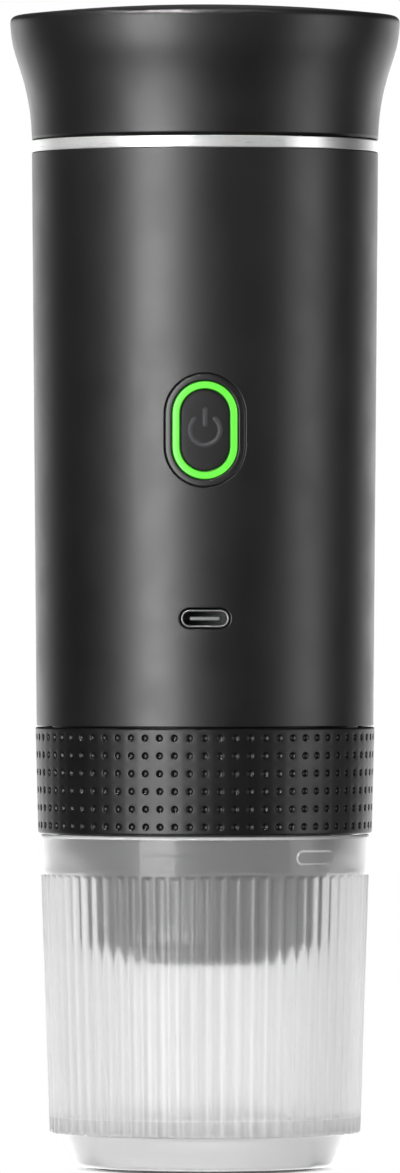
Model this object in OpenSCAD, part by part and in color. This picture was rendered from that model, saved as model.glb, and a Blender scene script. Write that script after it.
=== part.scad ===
// Portable coffee machine: a battery-powered espresso maker that stands on its own cup.
// Millimetres, +Z up, the foot of the cup on Z = 0, the button and the charging port facing -Y.

/* [Stack] */
// Height of the cup from its foot to its rim
cup_h = 63; // [60:0.5:75]
// Height of the dimpled grip collar
collar_h = 20.1; // [18:0.1:24]
// Height of the body shell
body_h = 108.8; // [104:0.1:130]
// Height of the silver trim ring
trim_h = 2.2; // [1.4:0.1:4]
// Height of the lid
lid_h = 25.4; // [23.4:0.1:33.4]
// Gap at each seam between pieces that come apart
seam = 0.25; // [0.1:0.05:0.5]

/* [Outside radii] */
// Radius of the body shell at its top, and of the trim ring and the foot of the lid
body_top_r = 32.9; // [32:0.1:36]
// Radius of the body shell at its bottom
body_bottom_r = 32; // [31.2:0.1:35]
// How far the grip collar stands proud of the shell above it
collar_proud = 0.2; // [0:0.05:0.5]
// Radius of the grip collar at its bottom
collar_bottom_r = 31.7; // [31.4:0.1:34]
// Widest radius of the flared lid
lid_rim_r = 37; // [34:0.1:40]

/* [Walls and fits] */
// Wall of the body shell
shell_wall = 1.8; // [1.2:0.1:2.5]
// Wall of the lid's outer cover
lid_wall = 2; // [1.2:0.1:2.6]
// Wall of the lid's threaded liner
liner_wall = 1.8; // [1.4:0.1:2.5]
// Wall of the grip collar behind its thread
collar_wall = 1.7; // [1.4:0.1:2.2]
// Gap between pieces that are fixed together
fit = 0.1; // [0.05:0.05:0.2]
// Gap round pieces that slide or turn on each other
slip = 0.3; // [0.2:0.05:0.5]

/* [Screw threads] */
// Rise of a thread in one turn
thread_lead = 12; // [11:0.5:16]
// Number of thread starts
thread_starts = 3; // [2:1:3]
// Height of a thread ridge above its root
ridge_h = 1; // [0.7:0.1:1.2]
// Width of a thread ridge at its root
ridge_root_w = 2; // [1.6:0.1:2.2]
// Width of a thread ridge at its crest
ridge_crest_w = 1; // [0.6:0.1:1.2]

/* [Lid] */
// Radius of the rounding under the lid's rim
lid_lip_round = 19; // [10:0.5:24]
// Radius of the lid's top edge
lid_edge_round = 2; // [1.2:0.1:2.6]
// Rise of the lid's domed top
lid_dome = 1.5; // [0.6:0.1:2.4]
// Thickness of the lid's top at its edge
lid_top_t = 2; // [1.4:0.1:3]
// Thickness of the lid's seal
lid_seal_h = 1.6; // [1:0.1:3]
// Thickness of the liner's plate above the seal
liner_plate_h = 1.8; // [1.2:0.1:3]
// Height of the tank's neck above the trim ring
neck_h = 10; // [9:0.1:13]

/* [Water tank] */
// Wall of the tank's neck
neck_wall = 1.7; // [1.2:0.1:2.4]
// Width of the rim that the steel tank hangs by
tank_rim_w = 1.6; // [1.2:0.1:2.5]
// Wall of the steel tank
tank_wall = 0.6; // [0.4:0.1:1]
// Depth of the neck's plug inside the shell
neck_plug_h = 6; // [4:0.5:10]
// Thickness of the neck's ledge under the tank's rim
neck_ledge_t = 2; // [1.2:0.1:3]
// Height of the tank's gasket
tank_gasket_h = 2; // [1:0.1:3]
// Thickness of the heater plate
heater_h = 2.8; // [2:0.1:5]
// Radius of the heater plate
heater_r = 21.5; // [20.5:0.1:23.5]
// Thickness of the insulating disc under the heater
heat_shield_h = 1.5; // [1:0.1:3]

/* [Button and port] */
// Height of the button's centre above the bottom of the shell
button_up = 55.7; // [50:0.1:60]
// Width of the button's bezel
button_w = 15.1; // [13.5:0.1:16.5]
// Height of the button's bezel
button_l = 21.2; // [19:0.1:24]
// Width of the bezel's face round the light ring
bezel_w = 1.3; // [0.9:0.1:1.6]
// Width of the lit ring
light_w = 1.6; // [1.2:0.1:1.9]
// Depth of the light ring behind its face
light_depth = 3.5; // [2.5:0.1:4]
// Travel of the button
button_travel = 0.8; // [0.4:0.1:0.9]
// Height of the charging port's centre above the bottom of the shell
port_up = 20.4; // [17:0.1:26]
// Outside width of the port's metal shell
port_w = 8.94; // [8.9:0.01:9]
// Outside height of the port's metal shell
port_h = 3.26; // [3.2:0.01:3.3]
// Wall of the port's metal shell
port_wall = 0.3; // [0.25:0.05:0.4]
// Depth of the port from its mouth to the board
port_depth = 9; // [8:0.1:10]
// How far the port's mouth lies inside the shell's face
port_recess = 0.3; // [0.1:0.1:1]
// Gap round the port in the shell
port_gap = 0.35; // [0.2:0.05:0.6]
// Thickness of the circuit board
board_t = 1.6; // [1:0.1:2]

/* [Cells and pump] */
// Radius of a battery cell
cell_r = 9.2; // [8.8:0.1:9.5]
// Length of a battery cell
cell_l = 65; // [61:0.5:67]
// Gap between neighbouring cells
cell_gap = 0.5; // [0.3:0.1:1]
// Thickness of the chassis decks
deck_t = 2.4; // [1.8:0.1:4]
// Least distance of the pump's axis in front of the body's axis
pump_front = 4.5; // [4.2:0.1:6]
// Outside radius of the pump's steel can
pump_r = 11.5; // [10.5:0.1:12.2]
// Wall of the pump's steel can
pump_wall = 1.2; // [0.8:0.1:1.6]
// Length of the pump's steel can
pump_can_l = 37; // [33:0.5:42]
// Bore radius of the pump's tube
pump_bore_r = 4.2; // [3.8:0.1:4.5]
// Length of the pump's plunger
plunger_l = 20; // [16:0.5:22]
// Wall of the clamp round the pump
clamp_wall = 1.8; // [1.2:0.1:2.2]
// Outside radius of a water hose
hose_r = 3.6; // [3.3:0.1:4]
// Bore radius of a water hose
hose_bore_r = 2.2; // [1.8:0.1:2.4]

/* [Brew unit] */
// Thickness of the collar's lip under the chamber's flange
lip_t = 1.6; // [1.2:0.1:2.4]
// Width of the seat between the lip and the flange
lip_seat = 0.8; // [0.6:0.1:1]
// Thickness of the chamber's flange
flange_t = 2.4; // [1.8:0.1:3]
// Height of the brew gasket
brew_gasket_h = 2; // [1.6:0.1:3]
// How far the brew gasket stands out of its groove
gasket_proud = 0.8; // [0.5:0.1:1.2]
// Height of the brew head's plug inside the shell
head_plug_h = 4; // [3:0.1:6]
// Thickness of the brew head's plate
head_plate_t = 6; // [5:0.1:7]
// Wall of the brew head
head_wall = 2.6; // [2:0.1:3.2]
// Depth of the chamber's spigot inside the cup
spigot_h = 7; // [5:0.1:9]
// Outside radius of the coffee chamber at its top
chamber_r = 23.4; // [22.8:0.1:24.4]
// Outside radius of the coffee chamber above its sloping bottom
chamber_low_r = 22.5; // [21.5:0.1:22.8]
// Outside radius of the flat middle of the chamber's bottom
chamber_floor_r = 12.5; // [9:0.1:15]
// Height of the slope round the flat middle
chamber_slope_h = 3.6; // [2.4:0.1:5]
// Depth of the coffee chamber below its flange
chamber_depth = 26.4; // [22:0.1:30]
// Wall of the coffee chamber
chamber_wall = 1.8; // [1.2:0.1:2.2]
// Wall of the steel coffee basket
basket_wall = 0.6; // [0.4:0.1:1]
// Height of the seal under the coffee basket
basket_seal_h = 1.8; // [1:0.1:4]

/* [Cup] */
// Radius of the cup's rim
cup_rim_r = 31.35; // [31:0.1:33]
// Radius of the cup at the bottom of its ribs
cup_low_r = 29.5; // [28.8:0.1:31]
// Height of the foot under the ribs
foot_h = 6.4; // [5.5:0.1:9]
// Radius of the foot where it meets the ribs
foot_top_r = 27.5; // [26.5:0.1:28.4]
// Radius of the foot on the table
foot_r = 24.9; // [23.5:0.1:26]
// Height of the cup's inside floor above the table
cup_floor_up = 9.4; // [8.8:0.1:12]
// Thickness of the cup's floor
cup_floor_t = 3; // [2:0.1:4]
// Inside radius of the cup at its floor
cup_inside_low_r = 26.2; // [25:0.1:26.8]
// Width of the ledge inside the cup that the spigot stands on
cup_ledge = 1; // [0.6:0.1:1.4]
// Height of the smooth band under the cup's rim
cup_band_h = 7.4; // [6:0.1:10]
// Number of ribs round the cup
rib_count = 70; // [60:1:80]
// Depth of the flutes between the ribs
flute_depth = 0.5; // [0.3:0.05:0.7]

/* [Hidden] */
$fn = 96;

// How far a cut runs past the face that it opens
past = 1;

// Heights of the seams, from the table up
collar_z = cup_h + seam;
collar_top_z = collar_z + collar_h;
body_z = collar_top_z + seam;
trim_z = body_z + body_h;
trim_top_z = trim_z + trim_h;
lid_z = trim_top_z + seam;
lid_top_z = lid_z + lid_h;

// The shell's outside and inside radius at a height
function shell_r(z) = body_bottom_r + (body_top_r - body_bottom_r) * (z - body_z) / body_h;
function shell_in(z) = shell_r(z) - shell_wall;

// Points along an arc, and a point at an angle
function arc(centre, r, from, to, steps) =
    [for (i = [0 : steps]) let (a = from + (to - from) * i / steps) centre + r * [cos(a), sin(a)]];
function polar(r, a, z) = [r * cos(a), r * sin(a), z];

// Threads: the pitch is the height between neighbouring ridges
thread_pitch = thread_lead / thread_starts;
ridge_steps = 36;
ridge_sink = 0.4;
ridge_end = 0.3;
thread_from = 63;

// Radii at the lid, from the outside in
liner_r = body_top_r - lid_wall - fit;
liner_bore_r = liner_r - liner_wall;
neck_root_r = liner_bore_r - slip - ridge_h;
neck_bore_r = neck_root_r - neck_wall;
tank_r = neck_bore_r - tank_rim_w;
tank_out_r = tank_r + tank_wall;

// Radii at the collar, from the outside in
collar_top_r = body_bottom_r + collar_proud;
collar_bore_r = body_bottom_r - collar_wall;
head_root_r = collar_bore_r - slip - ridge_h;
head_hollow_r = head_root_r - head_wall;
flange_r = head_root_r;
lip_r = flange_r - lip_seat;
spigot_r = lip_r - slip;
cup_bore_r = spigot_r + slip;

// Heights of the brew unit
flange_z = collar_z + lip_t;
flange_top_z = flange_z + flange_t;
head_z = flange_top_z + gasket_proud;
head_plate_z = head_z + head_plate_t;
head_top_z = body_z + head_plug_h;
head_thread_z = (head_z + body_z) / 2;
spigot_z = cup_h - spigot_h;
chamber_z = flange_z - chamber_depth;

// Heights of the chassis and the tank
deck_z = head_top_z;
cell_z = deck_z + deck_t;
upper_deck_z = cell_z + cell_l;
shield_z = upper_deck_z + deck_t;
heater_z = shield_z + heat_shield_h;
tank_z = heater_z + heater_h;
neck_plug_z = trim_z - neck_plug_h;
tank_rim_z = neck_plug_z + neck_ledge_t;
neck_top_z = trim_top_z + neck_h;
neck_thread_z = (trim_top_z + neck_top_z) / 2;
liner_top_z = neck_top_z + lid_seal_h;

// Cells stand in an arc at the back, and the pump in front of them
cell_ring_r = shell_in(cell_z) - 2 * slip - cell_r;
cell_pitch = 2 * cell_r + cell_gap;
cell_step = 2 * asin(cell_pitch / 2 / cell_ring_r);
side_cell = polar(cell_ring_r, 90 - cell_step, 0);
cell_to_pump = cell_r + pump_r + clamp_wall + 2 * slip;
pump_y = -max(pump_front, sqrt(pow(cell_to_pump, 2) - pow(side_cell.x, 2)) - side_cell.y);

// The pump's parts along its axis
pump_outlet_h = 7;
pump_can_z = cell_z + pump_outlet_h;
pump_can_top_z = pump_can_z + pump_can_l;
pump_cap_h = 3;
pump_cap_z = pump_can_top_z + pump_cap_h;
pump_tube_wall = 0.8;
pump_tube_r = pump_bore_r + pump_tube_wall;
tube_sink = 1.5;
tower_h = 4;
plunger_r = pump_bore_r - slip;
plunger_z = pump_can_z + tower_h + slip;
rod_r = 2;
pump_neck_r = 5;
grommet_wall = 2;
grommet_r = pump_neck_r + grommet_wall;
valve_seat_up = 3.4;
valve_seat_z = cell_z + valve_seat_up;
valve_seat_t = 1;
rod_bore_z = valve_seat_z + valve_seat_t;
valve_floor_t = 1;
valve_bore_z = deck_z + valve_floor_t;
valve_bore_r = 2.6;
valve_r = valve_bore_r - slip;
valve_h = 1.6;

// Hoses run straight between the barbs that they are pushed on
barb_r = hose_bore_r - fit;
barb_bore_r = 1.2;
barb_share = 0.4;
inlet_barb_l = barb_share * (shield_z - pump_cap_z);
outlet_barb_l = barb_share * (deck_z - head_plate_z);

// The board stands behind the front of the shell, as deep as the port is long
port_z = body_z + port_up;
button_z = body_z + button_up;
port_mouth_y = -(shell_r(port_z) - port_recess);
board_y = port_mouth_y + port_depth;
board_back_y = board_y + board_t;
board_up = 5;
board_z = cell_z + board_up;
board_down = 3;
board_top_z = upper_deck_z - board_down;
board_half_w = sqrt(pow(shell_in(board_z) - 2 * slip, 2) - pow(board_y, 2));
column_w = 4.5;
column_t = 3.5;
column_edge = 0.5;
column_x = board_half_w - column_w / 2 - column_edge;
column_back_y = board_back_y + column_t;

// Small screws: radius, head radius and head height
small_r = 1;
small_head_r = 1.8;
small_head_h = 1;

// A place in front of the shell, where cuts into it start
outside_y = -2 * body_top_r;

// The button's stack, from its face inwards
ring_w = button_w - 2 * bezel_w;
ring_l = button_l - 2 * bezel_w;
cap_w = ring_w - 2 * light_w - 2 * fit;
cap_l = ring_l - 2 * light_w - 2 * fit;
face_sink = 0.15;
cap_sink = 0.25;
ring_back_y = light_depth - sqrt(pow(shell_r(button_z) - face_sink, 2) - pow(ring_w / 2, 2));
bezel_lap = 1;
bezel_flange_y = -(sqrt(pow(shell_in(button_z), 2) - pow(button_w / 2 + bezel_lap, 2)) - fit);
cap_flange_y = ring_back_y + fit;
cap_flange_t = 1;
cap_back_y = cap_flange_y + cap_flange_t;
cap_lap = 0.8;
stem_r = 1.7;
stem_in = 1;
switch_y = cap_back_y + button_travel + slip;
switch_w = 6;

// Basic shapes

module disc(r, low, high, x = 0, y = 0) {
    translate([x, y, low]) cylinder(r = r, h = high - low);
}

module ring(r_out, r_in, low, high, x = 0, y = 0) {
    difference() {
        disc(r_out, low, high, x, y);
        disc(r_in, low - past, high + past, x, y);
    }
}

module turned(points) {
    rotate_extrude() polygon(points);
}

module stadium(w, l) {
    for (side = [-1, 1]) translate([0, side * (l - w) / 2]) circle(d = w);
    square([w, l - w], center = true);
}

// A stadium, standing up, that runs from y = front to y = back
module upright(w, l, z, front, back) {
    translate([0, back, z]) rotate([90, 0, 0]) linear_extrude(back - front) stadium(w, l);
}

// A stadium, lying down, that runs from y = front to y = back
module lying(w, h, z, front, back) {
    translate([0, back, z]) rotate([90, 0, 0]) linear_extrude(back - front) rotate(90) stadium(h, w);
}

// A rod that runs from y = front to y = back
module rod(r, front, back, x, z) {
    translate([x, front, z]) rotate([-90, 0, 0]) cylinder(r = r, h = back - front);
}

// A closed solid through rings of points that all have the same count
module swept(rings) {
    count = len(rings[0]);
    last = len(rings) - 1;
    end = last * count;
    points = [for (r = rings) each r];
    sides = [for (i = [0 : last - 1], j = [0 : count - 1])
        let (a = i * count + j, b = i * count + (j + 1) % count)
        each [[a, b + count, b], [a, a + count, b + count]]];
    first_cap = [for (j = [1 : count - 2]) [0, j, j + 1]];
    last_cap = [for (j = [1 : count - 2]) [end, end + j + 1, end + j]];
    polyhedron(points, concat(sides, first_cap, last_cap));
}

// The ridges of a multi-start thread. The middle of each ridge is at height z.
// A crest beyond the root makes an outside thread, and one within it an inside thread.
module ridges(root_r, crest_r, z, turns) {
    side = sign(crest_r - root_r);
    steps = round(ridge_steps * turns);
    base = root_r - side * ridge_sink;
    for (start = [0 : thread_starts - 1])
        swept([for (i = [0 : steps])
            let (
                t = i / steps - 0.5,
                a = thread_from + 360 * (start / thread_starts + turns * t),
                mid = z + thread_lead * turns * t,
                full = max(ridge_end, min(1, i / 2, (steps - i) / 2)),
                crest = root_r + (crest_r - root_r) * full
            )
            [
                polar(base, a, mid + side * ridge_root_w / 2),
                polar(crest, a, mid + side * ridge_crest_w / 2),
                polar(crest, a, mid - side * ridge_crest_w / 2),
                polar(base, a, mid - side * ridge_root_w / 2)
            ]]);
}

// A coil spring on the pump's axis
module coil_spring(mean_r, wire_r, low, high, turns) {
    rings_per_turn = 12;
    sides = 6;
    steps = turns * rings_per_turn;
    rise = high - low - 2 * wire_r;
    translate([0, pump_y, 0]) swept([for (i = [0 : steps])
        [for (j = [0 : sides - 1])
            let (b = -360 * j / sides)
            polar(mean_r + wire_r * cos(b), 360 * i / rings_per_turn,
                low + wire_r + rise * i / steps + wire_r * sin(b))]]);
}

// Lid

lid_rise = lid_h - lid_dome - lid_edge_round;
lid_angle = 2 * atan((lid_rim_r - body_top_r) / lid_rise);
lid_hollow_r = lid_rise / sin(lid_angle) - lid_lip_round;
lid_hollow_centre = [body_top_r + lid_hollow_r, lid_z];
lid_lip_centre = [lid_rim_r - lid_lip_round, lid_z + lid_rise];
lid_under_z = lid_top_z - lid_dome - lid_top_t;
lid_foot_h = 3;
post_r = 6;
valve_hole_r = 2.5;

// The flared side of the lid, set in by a wall: a hollow arc, then a full one under the rim
function lid_side(inset) = concat(
    arc(lid_hollow_centre, lid_hollow_r + inset, 180, 180 - lid_angle, 12),
    arc(lid_lip_centre, lid_lip_round - inset, -lid_angle, 0, 8)
);

module lid_shell() color("#2b2a2b") {
    edge_centre = [lid_rim_r - lid_edge_round, lid_z + lid_rise];
    dome_r = lid_edge_round + (pow(edge_centre.x, 2) + pow(lid_dome, 2)) / (2 * lid_dome);
    dome_angle = asin(edge_centre.x / (dome_r - lid_edge_round));
    outside = concat(
        lid_side(0),
        arc(edge_centre, lid_edge_round, 15, 75, 4),
        arc([0, lid_top_z - dome_r], dome_r, 90 - dome_angle, 90, 8)
    );
    inside = [for (p = lid_side(lid_wall)) if (p.y < lid_under_z - fit) p];
    inside_top = [inside[len(inside) - 1].x, lid_under_z];
    difference() {
        turned(concat([[0, lid_z]], outside));
        turned(concat(
            [[0, lid_z - past], [inside[0].x, lid_z - past]], inside, [inside_top, [0, lid_under_z]]
        ));
    }
}

module lid_liner() color("#3a3a3c") {
    plate_top_z = liner_top_z + liner_plate_h;
    difference() {
        union() {
            disc(liner_r, lid_z, lid_z + lid_foot_h);
            disc(liner_r - 2 * fit, lid_z, plate_top_z);
            disc(post_r, liner_top_z, lid_under_z);
        }
        disc(liner_bore_r, lid_z - past, liner_top_z);
        disc(post_r - liner_wall, plate_top_z, lid_top_z);
        disc(valve_hole_r, liner_top_z - past, plate_top_z + past);
    }
    ridges(liner_bore_r, liner_bore_r - ridge_h, neck_thread_z + thread_pitch / 2, 0.25);
}

module vent_valve() color("#c9c9c6") {
    plate_top_z = liner_top_z + liner_plate_h;
    slit_w = 0.4;
    lip_h = 1;
    lip_r = valve_hole_r + 1;
    difference() {
        union() {
            disc(valve_hole_r - fit, liner_top_z - lip_h, plate_top_z + lip_h);
            disc(lip_r, plate_top_z, plate_top_z + lip_h);
            disc(lip_r, liner_top_z - lip_h, liner_top_z);
        }
        translate([-valve_hole_r / 2, -slit_w / 2, liner_top_z - lip_h - past])
            cube([valve_hole_r, slit_w, liner_plate_h + 2 * lip_h + 2 * past]);
    }
}

module lid_seal() color("#d8d8d4")
    ring(liner_bore_r - slip, neck_bore_r, neck_top_z, liner_top_z);

// Tank and heater

outlet_neck_r = 3.2;
sensor_r = 1.5;
sensor_in = 8;
sensor_angle = 35;
sensor_at = polar(heater_r - sensor_in, sensor_angle, 0);
lead_r = 0.7;
lead_x = 3;
lead_back = 1.6;
lead_y = board_back_y + lead_back;

module trim_ring() color("#d9d9d9")
    ring(body_top_r, neck_root_r + fit, trim_z, trim_top_z);

module tank_neck() color("#3a3a3c") {
    difference() {
        union() {
            disc(shell_in(neck_plug_z) - fit, neck_plug_z, trim_z);
            disc(neck_root_r, neck_plug_z, neck_top_z);
        }
        disc(neck_bore_r, tank_rim_z, neck_top_z + past);
        disc(tank_out_r + fit, neck_plug_z - past, tank_rim_z + past);
    }
    ridges(neck_root_r, neck_root_r + ridge_h, neck_thread_z, 0.4);
}

module tank_cup() color("#b9bcbe")
    difference() {
        union() {
            disc(tank_out_r, tank_z, tank_rim_z + tank_wall);
            disc(neck_bore_r - fit, tank_rim_z, tank_rim_z + tank_wall);
        }
        disc(tank_r, tank_z + tank_wall, tank_rim_z + tank_wall + past);
        disc(outlet_neck_r + fit, tank_z - past, tank_z + tank_wall + past, 0, pump_y);
    }

module tank_gasket() color("#d8d8d4") {
    gasket_z = tank_rim_z + tank_wall;
    ring(neck_bore_r - fit, tank_r, gasket_z, gasket_z + tank_gasket_h);
}

module tank_insulation() color("#9a978f")
    ring(shell_in(shield_z) - slip, tank_out_r + fit, heater_z, neck_plug_z);

module tank_outlet() color("#4a4a4c") {
    floor_z = tank_z + tank_wall;
    flange_h = 1.2;
    flange_w = 1.8;
    difference() {
        union() {
            disc(outlet_neck_r + flange_w, floor_z, floor_z + flange_h, 0, pump_y);
            disc(outlet_neck_r, shield_z, floor_z + flange_h, 0, pump_y);
            disc(barb_r, shield_z - inlet_barb_l, floor_z, 0, pump_y);
        }
        disc(barb_bore_r, shield_z - inlet_barb_l - past, floor_z + flange_h + past, 0, pump_y);
    }
}

// The holes for the tank's outlet, the sensor and the heater's leads
module heater_holes(low, high, with_leads) {
    disc(outlet_neck_r + slip, low, high, 0, pump_y);
    disc(sensor_r + fit, low, high, sensor_at.x, sensor_at.y);
    if (with_leads)
        for (side = [-1, 1])
            disc(lead_r + fit, low, high, side * lead_x, lead_y);
}

module heater_plate() color("#8f5a34")
    difference() {
        disc(heater_r, heater_z, tank_z);
        heater_holes(heater_z - past, tank_z + past, false);
    }

module heat_shield() color("#c8c2b2")
    difference() {
        disc(shell_in(shield_z) - slip, shield_z, heater_z);
        heater_holes(shield_z - past, heater_z + past, true);
    }

module thermistor() color("#d8c9a0")
    disc(sensor_r, shield_z, tank_z, sensor_at.x, sensor_at.y);

module heater_leads() color("#c23b30")
    for (side = [-1, 1])
        disc(lead_r, board_top_z, heater_z, side * lead_x, lead_y);

// Body and chassis

module body_shell() color("#343435")
    difference() {
        turned([
            [body_bottom_r, body_z], [body_top_r, trim_z],
            [body_top_r - shell_wall, trim_z], [body_bottom_r - shell_wall, body_z]
        ]);
        upright(button_w + 2 * fit, button_l + 2 * fit, button_z, outside_y, 0);
        lying(port_w + 2 * port_gap, port_h + 2 * port_gap, port_z, outside_y, 0);
    }

deck_screw_r = 1.2;
deck_screw_head_r = 2.2;
deck_screw_head_h = 1.4;
deck_screw_l = 5;
boss_wall = 1.6;
boss_r = deck_screw_r + boss_wall;
deck_screw_angle = -15;
deck_screw_at = polar(head_hollow_r - boss_r - slip, deck_screw_angle, 0);

module chassis() color("#5b5d60")
    difference() {
        union() {
            disc(shell_in(deck_z) - slip, deck_z, cell_z);
            disc(shell_in(deck_z) - slip, upper_deck_z, shield_z);
            for (side = [-1, 1])
                translate([side * column_x - column_w / 2, board_back_y, deck_z])
                    cube([column_w, column_t, shield_z - deck_z]);
        }
        disc(grommet_r, deck_z - past, cell_z + past, 0, pump_y);
        disc(hose_r + slip, upper_deck_z - past, shield_z + past, 0, pump_y);
        for (side = [-1, 1]) {
            disc(deck_screw_r + fit, deck_z - past, cell_z + past, side * deck_screw_at.x, deck_screw_at.y);
            disc(lead_r + fit, upper_deck_z - past, shield_z + past, side * lead_x, lead_y);
        }
        board_screw_shanks(small_r + fit);
        clamp_screw_shanks(small_r + fit);
    }

module deck_screws() color("#8d8f92")
    for (side = [-1, 1]) {
        x = side * deck_screw_at.x;
        disc(deck_screw_head_r, cell_z, cell_z + deck_screw_head_h, x, deck_screw_at.y);
        disc(deck_screw_r, deck_z - deck_screw_l, cell_z + past, x, deck_screw_at.y);
    }

// Cells

strap_t = 0.3;
strap_w = 8;

// The middle of a cell: -1 is the left one, 0 the middle one and 1 the right one
function cell_at(place) = polar(cell_ring_r, 90 - place * cell_step, 0);

module battery_cell(place) color("#3f6fa3")
    disc(cell_r, cell_z + strap_t, upper_deck_z - strap_t, cell_at(place).x, cell_at(place).y);

module battery_straps() color("#c4c6c8")
    for (z = [cell_z, upper_deck_z - strap_t]) {
        for (place = [-1, 0, 1])
            disc(strap_w / 2, z, z + strap_t, cell_at(place).x, cell_at(place).y);
        for (side = [-1, 1])
            translate(cell_at(0) + [0, 0, z]) rotate([0, 0, 90 - side * (90 + cell_step / 2)])
                translate([0, -strap_w / 2, 0]) cube([cell_pitch, strap_w, strap_t]);
    }

// Board and port

board_screw_edge = 3;
board_screw_z = [board_z + board_screw_edge, board_top_z - board_screw_edge];
column_skin = 1;
board_screw_in = column_t - column_skin;
connector_w = 12;
connector_h = 6;
tongue_w = 6.69;
tongue_h = 0.7;
tongue_sink = 0.8;
port_back = 1;

module board_screw_shanks(r) {
    for (side = [-1, 1], z = board_screw_z)
        rod(r, board_y - small_head_h, board_back_y + board_screw_in, side * column_x, z);
}

module main_board() color("#1f5a3c")
    difference() {
        translate([-board_half_w, board_y, board_z])
            cube([2 * board_half_w, board_t, board_top_z - board_z]);
        board_screw_shanks(small_r + fit);
    }

module board_connector() color("#e8e4d8")
    translate([-connector_w / 2, board_back_y, board_top_z - connector_h])
        cube([connector_w, 2 * lead_back, connector_h]);

module board_screws() color("#8d8f92") {
    board_screw_shanks(small_r);
    for (side = [-1, 1], z = board_screw_z)
        rod(small_head_r, board_y - small_head_h, board_y, side * column_x, z);
}

module usb_shell() color("#b8bbbd") {
    inside_w = port_w - 2 * port_wall;
    inside_h = port_h - 2 * port_wall;
    difference() {
        lying(port_w, port_h, port_z, port_mouth_y, board_y);
        lying(inside_w, inside_h, port_z, port_mouth_y - past, board_y - port_back);
    }
}

module usb_tongue() color("#222224")
    translate([-tongue_w / 2, port_mouth_y + tongue_sink, port_z - tongue_h / 2])
        cube([tongue_w, port_depth - port_back - tongue_sink, tongue_h]);

// Button

// The space inside the shell's outside, set in by sink
module within_shell(sink) {
    turned([[0, body_z], [body_bottom_r - sink, body_z], [body_top_r - sink, trim_z], [0, trim_z]]);
}

module button_bezel() color("#202021") {
    flange_w = button_w + 2 * bezel_lap;
    flange_l = button_l + 2 * bezel_lap;
    difference() {
        union() {
            intersection() {
                upright(button_w, button_l, button_z, outside_y, ring_back_y);
                within_shell(0);
            }
            upright(flange_w, flange_l, button_z, bezel_flange_y, ring_back_y);
        }
        upright(ring_w + 2 * fit, ring_l + 2 * fit, button_z, outside_y - past, ring_back_y + past);
    }
}

module light_ring() color("#4cf04a")
    difference() {
        intersection() {
            upright(ring_w, ring_l, button_z, outside_y, ring_back_y);
            within_shell(face_sink);
        }
        upright(ring_w - 2 * light_w, ring_l - 2 * light_w, button_z, outside_y - past, ring_back_y + past);
    }

module button_cap() color("#2c2b2c") {
    intersection() {
        upright(cap_w, cap_l, button_z, outside_y, cap_back_y);
        within_shell(cap_sink);
    }
    upright(cap_w + 2 * cap_lap, cap_l + 2 * cap_lap, button_z, cap_flange_y, cap_back_y);
}

module tact_switch() color("#1c1c1e")
    difference() {
        translate([-switch_w / 2, switch_y, button_z - switch_w / 2])
            cube([switch_w, board_y - switch_y, switch_w]);
        rod(stem_r + fit, switch_y - past, switch_y + stem_in + button_travel + slip, 0, button_z);
    }

module switch_stem() color("#d6d6d2")
    rod(stem_r, cap_back_y, switch_y + stem_in, 0, button_z);

module ring_leds() color("#f2f2e4") {
    led = [1.6, 0.7, 0.8];
    led_x = (ring_w - light_w) / 2;
    led_up = ring_l / 4;
    for (x = [-1, 1], z = [-1, 1])
        translate([x * led_x - led.x / 2, board_y - led.y, button_z + z * led_up - led.z / 2])
            cube(led);
}

// Pump

bobbin_wall = 0.8;
clamp_h = 6;
clamp_z = pump_can_z + (pump_can_l - clamp_h) / 2;
ear_t = 2;

module inlet_hose() color("#e4e2dc")
    ring(hose_r, hose_bore_r, pump_cap_z, shield_z, 0, pump_y);

module pump_inlet() color("#d9d4c4")
    difference() {
        union() {
            disc(pump_r, pump_can_top_z, pump_cap_z, 0, pump_y);
            disc(barb_r, pump_can_top_z, pump_cap_z + inlet_barb_l, 0, pump_y);
        }
        disc(barb_bore_r, pump_can_top_z - past, pump_cap_z + inlet_barb_l + past, 0, pump_y);
        disc(pump_tube_r + fit, pump_can_top_z - past, pump_can_top_z + tube_sink, 0, pump_y);
    }

module pump_can() color("#a4a7aa")
    ring(pump_r, pump_r - pump_wall, pump_can_z, pump_can_top_z, 0, pump_y);

module pump_bobbin() color("#efe6cf") {
    bore_r = pump_tube_r + fit;
    difference() {
        union() {
            disc(bore_r + bobbin_wall, pump_can_z, pump_can_top_z, 0, pump_y);
            for (z = [pump_can_z, pump_can_top_z - bobbin_wall])
                disc(pump_r - pump_wall - fit, z, z + bobbin_wall, 0, pump_y);
        }
        disc(bore_r, pump_can_z - past, pump_can_top_z + past, 0, pump_y);
    }
}

module pump_coil() color("#b5622c")
    ring(pump_r - pump_wall - 2 * fit, pump_tube_r + bobbin_wall + 2 * fit,
        pump_can_z + bobbin_wall + fit, pump_can_top_z - bobbin_wall - fit, 0, pump_y);

module pump_tube() color("#c9a24b")
    ring(pump_tube_r, pump_bore_r, pump_can_z, pump_can_top_z + tube_sink, 0, pump_y);

module pump_plunger() color("#90959a") {
    rod_z = rod_bore_z + slip;
    difference() {
        union() {
            disc(plunger_r, plunger_z, plunger_z + plunger_l, 0, pump_y);
            disc(rod_r, rod_z, plunger_z + past, 0, pump_y);
        }
        disc(barb_bore_r, rod_z - past, plunger_z + plunger_l + past, 0, pump_y);
    }
}

module plunger_spring() color("#c4c6c8") {
    wire_r = 0.4;
    coil_spring(plunger_r - 2 * wire_r, wire_r, plunger_z + plunger_l, pump_can_top_z + tube_sink, 5);
}

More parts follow.
